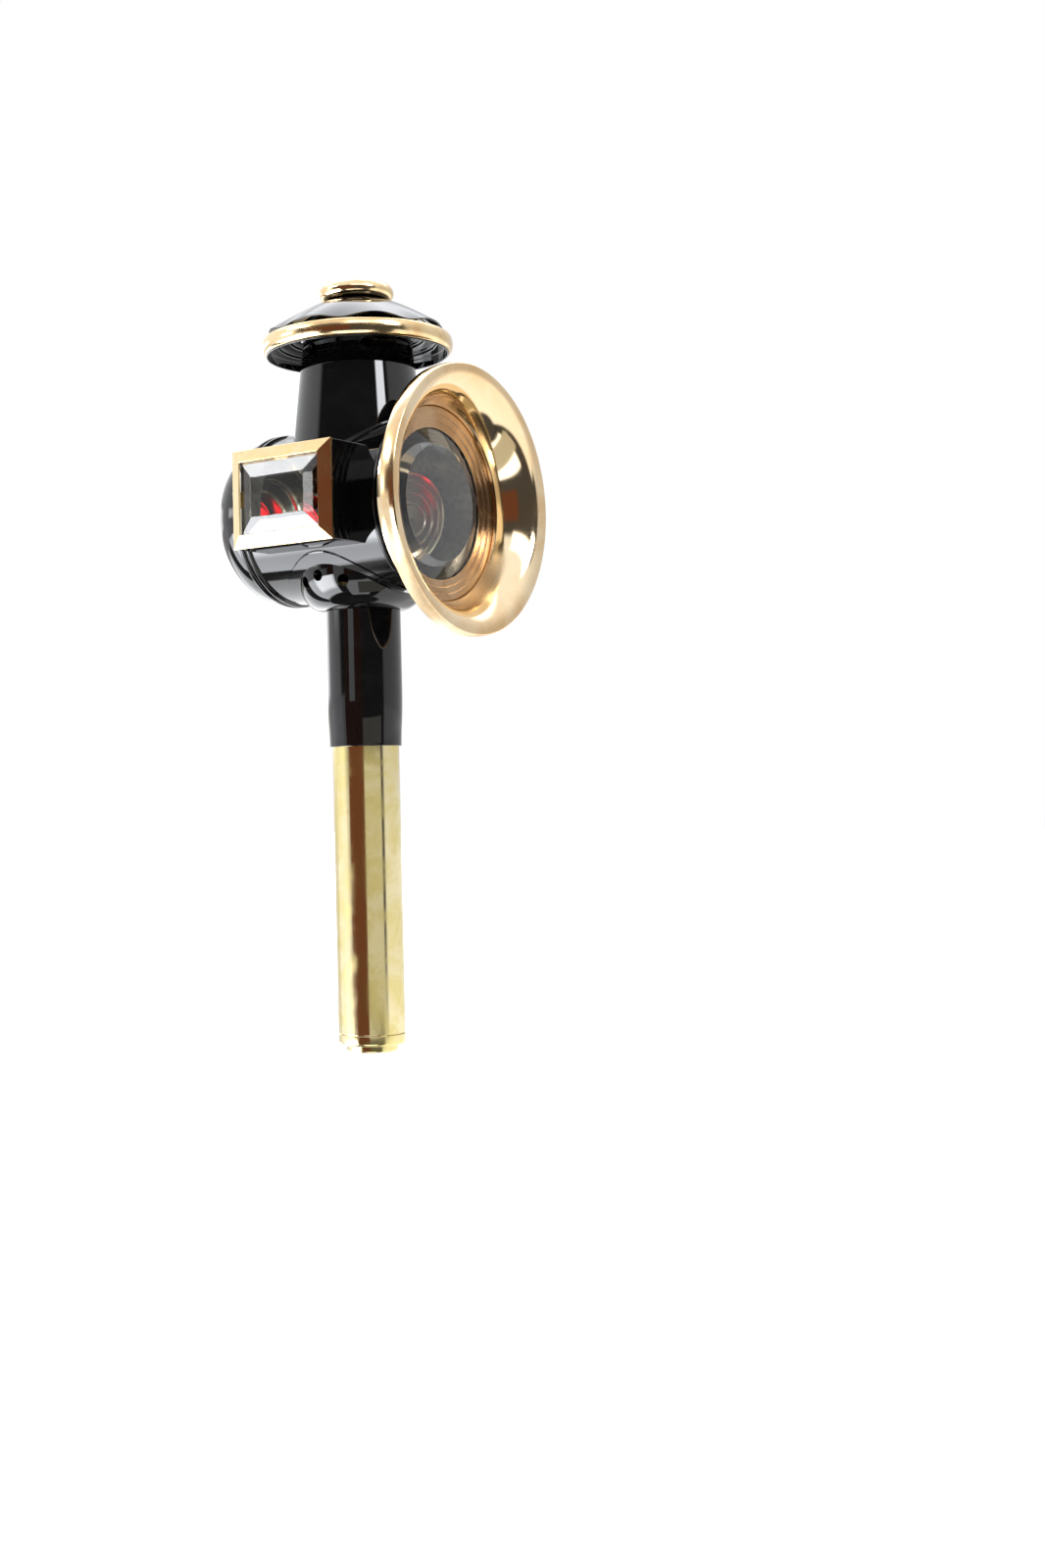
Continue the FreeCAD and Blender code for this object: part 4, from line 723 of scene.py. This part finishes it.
knob = {"bottom": 230.0, "footRadius": 15.8, "radius": 19.4, "widest": 234.0, "top": 240.7, "crown": 8.0,
        "hole": 2.5, "holeDepth": 7.0}
finishPiece("topKnob", spun([
    (0, knob["bottom"] + knob["holeDepth"]), (knob["hole"], knob["bottom"] + knob["holeDepth"]),
    (knob["hole"], knob["bottom"]), (knob["footRadius"], knob["bottom"]),
    *ovalPoints((knob["footRadius"], knob["bottom"]), (knob["radius"], knob["bottom"]),
                (knob["radius"], knob["widest"]), 8)[1:],
    *ovalPoints((knob["radius"], knob["widest"]), (knob["radius"], knob["top"]),
                (knob["crown"], knob["top"]), 18)[1:],
    (0, knob["top"])], steps=160),
    [polishedBrass], "lamp_body", ["knob"])
print("chimney, canopy and knob made")


# Side window

def windowBlock(low, high, halfWidth, halfHeight, shrink=0.0):  # a box facing -X whose outer end shrinks
    bm = boxBetween((low, window["y"] - halfWidth, window["z"] - halfHeight),
                    (high, window["y"] + halfWidth, window["z"] + halfHeight))
    for vertex in bm.verts:
        if vertex.co.x < (low + high) / 2 * mm:
            vertex.co.y -= math.copysign(shrink * mm, vertex.co.y - window["y"] * mm)
            vertex.co.z -= math.copysign(shrink * mm, vertex.co.z - window["z"] * mm)
    return bm


halfWidth, halfHeight = window["width"] / 2, window["height"] / 2
boxShape = windowBlock(-window["boxEnd"], -window["boxStart"], halfWidth, halfHeight)
longEdges = [e for e in boxShape.edges if abs((e.verts[0].co - e.verts[1].co).normalized().x) > 0.9]
bmesh.ops.bevel(boxShape, geom=longEdges, offset=window["boxEdge"] * mm, offset_type="OFFSET", segments=3,
                profile=0.5, affect="EDGES", material=-1)
chimneySpace = roundBar(chimney["footRadius"] + chimney["flange"] + window["chimneyGap"], (0, 0, drumHeight),
                        (0, 0, window["cutTop"]), 192)
boxHollow = windowBlock(-window["cutEnd"], -window["cutStart"], halfWidth - window["wall"],
                        halfHeight - window["wall"])
boxShape = carved(boxShape, ("DIFFERENCE", boxHollow), ("DIFFERENCE", drumBar(drumSpace)),
                  ("DIFFERENCE", chimneySpace))


def insideBox(place, normal):
    near = window["wall"] * 0.9
    return (abs(place.y - window["y"]) < halfWidth - near and abs(place.z - window["z"]) < halfHeight - near
            and abs(normal.x) < 0.5)


finishPiece("windowBox", boxShape, [blackLacquer, innerTin], "lamp_body", ["window_box"],
            inner=insideBox)

mitre = {"gap": 0.04, "glassLap": 1.1, "glassSetback": 1.6, "longEdge": 20.0}
outerWidth, outerHeight = halfWidth + window["proud"], halfHeight + window["proud"]
member = window["member"] + window["proud"]
seatX = window["face"] + window["rise"] - mitre["glassSetback"]
frameShape = bmesh.new()
section = [(0, window["boxEnd"]), (0, window["face"]), (member, window["face"] + window["rise"]), (member, seatX),
           (member - mitre["glassLap"], seatX), (member - mitre["glassLap"], window["boxEnd"])]
for sideNumber in range(4):  # four members with mitred ends
    alongY = sideNumber % 2 == 0
    way = 1 if sideNumber < 2 else -1
    ends = []
    for end in (-1, 1):
        points = []
        for inset, reach in section:
            if alongY:
                y = end * (outerWidth - inset - mitre["gap"])
                z = way * (outerHeight - inset)
            else:
                y = way * (outerWidth - inset)
                z = end * (outerHeight - inset - mitre["gap"])
            points.append(frameShape.verts.new(((-reach) * mm, (window["y"] + y) * mm, (window["z"] + z) * mm)))
        ends.append([frameShape.edges.new(pair) for pair in zip(points, points[1:] + points[:1])])
    bmesh.ops.contextual_create(frameShape, geom=ends[0])
    bmesh.ops.contextual_create(frameShape, geom=ends[1])
    bmesh.ops.bridge_loops(frameShape, edges=ends[0] + ends[1])
bmesh.ops.recalc_face_normals(frameShape, faces=frameShape.faces[:])
longEdges = [e for e in frameShape.edges if e.calc_length() > mitre["longEdge"] * mm]
bmesh.ops.bevel(frameShape, geom=longEdges, offset=window["edge"] * mm, offset_type="OFFSET", segments=3,
                profile=0.5, affect="EDGES", material=-1)
finishPiece("windowFrame", frameShape, [polishedBrass], "lamp_body", ["window_frame"])

pane = {"lap": 1.0, "edge": 2.5, "bevel": 8.0, "rise": 2.3, "gap": 0.3, "seat": 0.1, "arris": 0.12, "least": 900.0}
paneFront = seatX - pane["seat"]
openWidth, openHeight = halfWidth - window["member"], halfHeight - window["member"]
paneShape = windowBlock(-paneFront, -paneFront + pane["edge"], openWidth + pane["lap"], openHeight + pane["lap"])
front = [f for f in paneShape.faces if f.normal.x < -0.9]
bmesh.ops.inset_region(paneShape, faces=front, thickness=(pane["lap"] + pane["gap"]) * mm, depth=0,
                       use_even_offset=True)
front = [f for f in paneShape.faces if f.normal.x < -0.9 and f.calc_area() > pane["least"] * mm * mm]
bmesh.ops.inset_region(paneShape, faces=front, thickness=pane["bevel"] * mm, depth=pane["rise"] * mm,
                       use_even_offset=True)
bmesh.ops.recalc_face_normals(paneShape, faces=paneShape.faces[:])
bmesh.ops.bevel(paneShape, geom=paneShape.edges[:], offset=pane["arris"] * mm, offset_type="OFFSET", segments=2,
                profile=0.5, affect="EDGES", material=-1)
finishPiece("sideGlass", paneShape, [clearGlass], "lamp_body", ["side_glass"], sharp=25)
print("side window made")


# Front door: ring, glass, bezel and flare

door = {"back": -43.8, "front": -47.35, "bead": -45.4, "inner": 40.9, "rebateDepth": 0.8, "rebate": 42.5,
        "sleeve": 41.8, "sleeveDepth": 1.6, "rebateEdge": 0.1, "frontEdge": 0.12}
finishPiece("doorRing", spun([
    (drum["radius"], door["back"], thinEdge), (door["sleeve"], door["back"]),
    (door["sleeve"], door["back"] + door["sleeveDepth"], thinEdge),
    (door["inner"], door["back"] + door["sleeveDepth"], thinEdge),
    (door["inner"], door["front"] + door["rebateDepth"]), (door["rebate"], door["front"] + door["rebateDepth"]),
    (door["rebate"], door["front"], door["rebateEdge"]), (drum["radius"], door["front"], door["frontEdge"]),
    *beadPoints(door["bead"], drum["radius"])], steps=steps),
    [blackLacquer], "front_door", ["door_ring"], alongDrum)

glass = {"radius": 40.6, "back": -44.0, "front": -46.4, "bevel": 38.0, "flat": 29.0, "rise": 3.5, "arris": 0.15}
finishPiece("frontGlass", spun([
    (0, glass["back"]), (glass["radius"], glass["back"], glass["arris"]),
    (glass["radius"], glass["front"], glass["arris"]), (glass["bevel"], glass["front"], glass["arris"]),
    (glass["flat"], glass["front"] - glass["rise"], thinEdge), (0, glass["front"] - glass["rise"])], steps=192),
    [clearGlass], "front_door", ["front_glass"], alongDrum, sharp=12)

bezel = {"wall": 0.8, "inner": 38.3, "steps": (42.0, 45.5), "height": 0.8, "outer": 48.7, "front": -47.4,
         "innerEdge": 0.25, "seat": 0.1}
first, second = bezel["steps"]
front, height, wall, seat = bezel["front"], bezel["height"], bezel["wall"], bezel["seat"]
finishPiece("glassBezel", spun([
    (bezel["inner"], front, bezel["innerEdge"]), (first, front, softEdge), (first, front - height, softEdge),
    (second, front - height, softEdge), (second, front - 2 * height, softEdge),
    (bezel["outer"], front - 2 * height, thinEdge), (bezel["outer"], front - 2 * height + wall, thinEdge),
    (second + wall / 2, front - 2 * height + wall), (second + wall / 2, front - height + wall / 2),
    (second + wall / 4, front - height + wall - seat), (first + wall / 2, front - height + wall - seat),
    (first + wall / 2, front + wall - seat), (bezel["inner"], front + wall - seat, thinEdge)], steps=192),
    [bezelBrass], "front_door", ["glass_bezel"], alongDrum)


def behindFlare(place, normal):  # the flare's back, which is lacquered
    return normal.y > 0.02 and math.hypot(place.x, place.z - drumHeight) < trumpet["radius"] - trumpet["brassEdge"]


trumpet = {"wall": 0.75, "flange": 46.4, "throat": 49.2, "throatRound": 0.72, "radius": 67.9, "front": -70.0,
           "lip": 1.6, "band": 7.8, "turnIn": 1.3, "turnRound": 0.8, "seat": -48.1, "curveStart": -50.5,
           "spread": 17.0, "startPull": 13.0, "endPull": 8.0, "crown": 0.55, "lipRound": 0.55, "backRound": 0.5,
           "brassEdge": 2.0, "curvePoints": 40, "bandPoints": 12}
wall, throat, front = trumpet["wall"], trumpet["throat"], trumpet["front"]
lipStart = trumpet["radius"] - trumpet["lip"]
bandBack = front + trumpet["band"]
spread = math.radians(trumpet["spread"])
insideCurve = curvePoints((throat, trumpet["curveStart"]),
                          (throat + trumpet["startPull"] * math.sin(spread),
                           trumpet["curveStart"] - trumpet["startPull"] * math.cos(spread)),
                          (lipStart - trumpet["endPull"], front), (lipStart, front), trumpet["curvePoints"])
backCurve = []
for number in range(len(insideCurve)):
    before, after = insideCurve[max(number - 1, 0)], insideCurve[min(number + 1, len(insideCurve) - 1)]
    along = Vector((after[0] - before[0], after[1] - before[1])).normalized()
    backCurve.append((insideCurve[number][0] - along.y * wall, insideCurve[number][1] + along.x * wall))
crownedBand = []
for number in range(trumpet["bandPoints"] + 1):  # the band bulges a little between its edges
    share = number / trumpet["bandPoints"]
    crownedBand.append((trumpet["radius"] - trumpet["crown"] * (2 * share - 1) ** 2, front + trumpet["band"] * share))
finishPiece("brassFlare", spun([
    (trumpet["flange"], trumpet["seat"]), (throat, trumpet["seat"], trumpet["throatRound"]), *insideCurve,
    (*crownedBand[0], trumpet["lipRound"]), *crownedBand[1:-1], (*crownedBand[-1], trumpet["backRound"]),
    (trumpet["radius"] - trumpet["turnIn"], bandBack),
    (trumpet["radius"] - trumpet["turnIn"], bandBack - wall), (trumpet["radius"] - wall, bandBack - wall),
    (trumpet["radius"] - wall, front + wall, trumpet["turnRound"]), *reversed(backCurve),
    (throat + wall, trumpet["seat"] + wall, softEdge), (trumpet["flange"], trumpet["seat"] + wall)],
    steps=256, roundSteps=6),
    [flareBrass, blackLacquer], "front_door", ["flare"], alongDrum, sharp=40, inner=behindFlare)
print("front door made")


# Nodes whose solids are shown as they are

shown = {
    "candle_tube": plainBrass, "candle_nozzle": plainBrass, "candle_follower": plainBrass,
    "window_clips": plainBrass, "candle": wax, "wick": wick, "candle_spring": steel, "cover_stud": steel,
    "cover_nut": steel, "canopy_bridge": steel, "glass_wire": steel, "rivets": steel,
    "hinge_leaf_drum": blackLacquer, "hinge_leaf_door": blackLacquer, "hinge_pin": polishedBrass}
for node, material in shown.items():
    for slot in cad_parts[node].material_slots:
        slot.material = material
print("kept nodes dressed:", len(shown))


# Studio: floor, surroundings and camera

view = {"azimuth": -52.96, "distance": 1.0019, "height": -0.0223, "pitch": 3.62, "roll": 1.25, "sensor": 36,
        "focalPixels": 2000.0, "axisX": 371.5, "axisY": 680.0, "imageWidth": 1066, "imageHeight": 1600}
cameraTurn = math.radians(view["azimuth"])
back = Vector((math.sin(cameraTurn), -math.cos(cameraTurn), 0))  # from the lamp towards the camera
right = Vector((math.cos(cameraTurn), math.sin(cameraTurn), 0))
upright = Vector((0, 0, 1))


def makeFloor():
    size, height = 12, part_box("end_cap")[0].z - drawRoom * mm
    bm = bmesh.new()
    bmesh.ops.create_grid(bm, x_segments=1, y_segments=1, size=size, matrix=Matrix.Translation((0, 0, height)))
    floor = linked("paleFloor", bm)
    material, tree, shader, coords = newMaterial("paleFloor", {"Base Color": (0.93, 0.93, 0.93, 1),
                                                               "Roughness": 0.9, "Specular IOR Level": 0.0})
    floor.data.materials.append(material)
    floor.visible_glossy = False


def makeSurroundings():
    world = bpy.data.worlds.new("studio")
    bpy.context.scene.world = world
    world.use_nodes = True
    tree = world.node_tree
    card, given, out = newGroup("studioCard", [(label, "NodeSocketFloat", 0.0) for label in
                                               ("Azimuth", "Elevation", "From", "To", "Bottom", "Top", "Blur")],
                                [("Mask", "NodeSocketFloat")])
    sides = []
    for value, edge, way in (("Azimuth", "From", 1), ("Azimuth", "To", -1), ("Elevation", "Bottom", 1),
                             ("Elevation", "Top", -1)):
        blur = addMath(card, "MULTIPLY", given["Blur"], float(way))
        low = addMath(card, "SUBTRACT", given[edge], blur)
        high = addMath(card, "ADD", given[edge], blur)
        sides.append(addRange(card, given[value], low, high))
    mask = addMath(card, "MULTIPLY", addMath(card, "MULTIPLY", sides[0], sides[1]),
                   addMath(card, "MULTIPLY", sides[2], sides[3]))
    card.links.new(mask, out["Mask"])

    way = addNode(tree, "ShaderNodeTexCoord").outputs["Generated"]
    turned = addNode(tree, "ShaderNodeMapping", {"Vector": way, "Rotation": (0, 0, -math.radians(view["azimuth"]))},
                     vector_type="POINT").outputs[0]
    parts = addNode(tree, "ShaderNodeSeparateXYZ", {0: turned}).outputs
    azimuth = addMath(tree, "DEGREES", addMath(tree, "ARCTAN2", parts[0], addMath(tree, "MULTIPLY", parts[1], -1.0)))
    elevation = addMath(tree, "DEGREES", addMath(tree, "ARCSINE", parts[2]))
    colour = addMix(tree, addRange(tree, elevation, 8.0, 50.0), (0.82, 0.82, 0.83, 1), (1.3, 1.31, 1.34, 1))
    cards = [  # (from, to, bottom, top, blur, colour) in degrees, later ones cover earlier ones
        (-200, 200, -95, -28, 12, (1.5, 1.5, 1.5, 1)),
        (60, 200, -12, -0.5, 1, (1.05, 1.05, 1.05, 1)),
        (-200, -80, -10, 100, 6, (1.3, 1.31, 1.33, 1)),
        (-200, -116, 36, 80, 6, (3.0, 3.05, 3.15, 1)),
        (120, 200, 36, 80, 6, (3.0, 3.05, 3.15, 1)),
        (-152, -130, 5, 13, 2, (0.15, 0.15, 0.15, 1)),
        (-100, -84, 6, 14, 2, (6.0, 6.0, 6.0, 1)),
        (-200, -131, -53, 12, 2, (3.0, 3.05, 3.1, 1)),
        (62, 150, -72, -36, 5, (1.9, 1.9, 1.9, 1)),
        (-200, 56, -95, -53, 1.5, (0.06, 0.06, 0.06, 1)),
        (-200, 200, -95, -72, 2, (0.08, 0.08, 0.08, 1)),
        (-77, 60, -54, 32, 4, (0.085, 0.08, 0.08, 1)),
        (-62, -8, -13, 17, 3, (0.17, 0.065, 0.035, 1)),
        (-130, -112, -52, -13, 2, (0.12, 0.12, 0.12, 1)),
        (-112, -51, -51, -3, 1.5, (6.5, 6.7, 7.0, 1)),
        (-94, -54, -36, -5, 5, (16.0, 16.4, 17.0, 1)),
        (46, 150, -72, -7, 3, (1.6, 1.6, 1.6, 1)),
        (-205, -60, -9.5, 2, 1, (0.95, 0.93, 0.92, 1)),
        (-126, -74, -9.5, 2, 4, (1.4, 1.4, 1.5, 1)),
        (-64, -8, -9.5, 2, 1, (0.17, 0.065, 0.035, 1)),
        (-33, 21, -66, -26, 2, (2.6, 2.6, 2.65, 1)),
        (-16, 36, 28, 46, 2, (3.4, 3.4, 3.4, 1)),
        (36, 52, 21, 47, 1.8, (16.0, 16.4, 17.0, 1)),
        (-98, -66, 27, 37.5, 1, (14.0, 14.2, 14.5, 1)),
    ]
    for start, end, bottom, top, blur, paint in cards:
        mask = useGroup(tree, card, {"Azimuth": azimuth, "Elevation": elevation, "From": start, "To": end,
                                     "Bottom": bottom, "Top": top, "Blur": blur})["Mask"]
        colour = addMix(tree, mask, colour, paint)
    seen = addNode(tree, "ShaderNodeLightPath").outputs["Is Camera Ray"]
    colour = addMix(tree, seen, colour, (1.0, 1.0, 1.0, 1))
    tree.links.new(colour, tree.nodes["Background"].inputs["Color"])


def makeCamera():
    pitch, roll = math.radians(view["pitch"]), math.radians(view["roll"])
    aim = upright * math.sin(pitch) - back * math.cos(pitch)
    up = upright * math.cos(pitch) + back * math.sin(pitch)
    rolledRight = right * math.cos(roll) - up * math.sin(roll)
    rolledUp = right * math.sin(roll) + up * math.cos(roll)
    place = Matrix((rolledRight, rolledUp, -aim)).transposed().to_4x4()
    place.translation = back * view["distance"] + upright * view["height"]
    data = bpy.data.cameras.new("photoCamera")
    data.sensor_width = view["sensor"]
    data.lens = view["focalPixels"] / view["imageHeight"] * data.sensor_width
    data.shift_x = (view["imageWidth"] / 2 - view["axisX"]) / view["imageHeight"]
    data.shift_y = (view["axisY"] - view["imageHeight"] / 2) / view["imageHeight"]
    camera = bpy.data.objects.new("photoCamera", data)
    camera.matrix_world = place
    bpy.context.scene.collection.objects.link(camera)
    bpy.context.scene.camera = camera


def makeCard(name, centre, size, facing, colour):  # mm; centre is (towards the camera, to its right, up)
    swing = math.radians(facing)
    wide = right * math.cos(swing) - back * math.sin(swing)
    middle = back * centre[0] + right * centre[1] + upright * centre[2]
    bm = bmesh.new()
    corners = [bm.verts.new((middle + wide * size[0] / 2 * x + upright * size[1] / 2 * y) * mm)
               for x, y in ((-1, -1), (1, -1), (1, 1), (-1, 1))]
    bm.faces.new(corners)
    card = linked(name, bm)
    material, tree, shader, coords = newMaterial(name, {"Base Color": (0, 0, 0, 1), "Specular IOR Level": 0.0,
                                                        "Emission Color": colour, "Emission Strength": 1.0})
    card.data.materials.append(material)
    for way in ("camera", "diffuse", "shadow", "transmission", "volume_scatter"):  # it shows in mirrored light only
        setattr(card, "visible_" + way, False)


makeFloor()
makeSurroundings()
makeCard("stemCard", (170, 84.5, -82), (217, 170), 0, (0.72, 0.70, 0.60, 1))
makeCard("capCard", (62, -62, -181), (130, 42), 45, (0.45, 0.42, 0.34, 1))
makeCard("lipCard", (112, -78, 74), (60, 102), 90, (1.15, 1.15, 1.15, 1))
makeCamera()
scene = bpy.context.scene
scene.view_settings.view_transform = "Standard"
print("studio made")
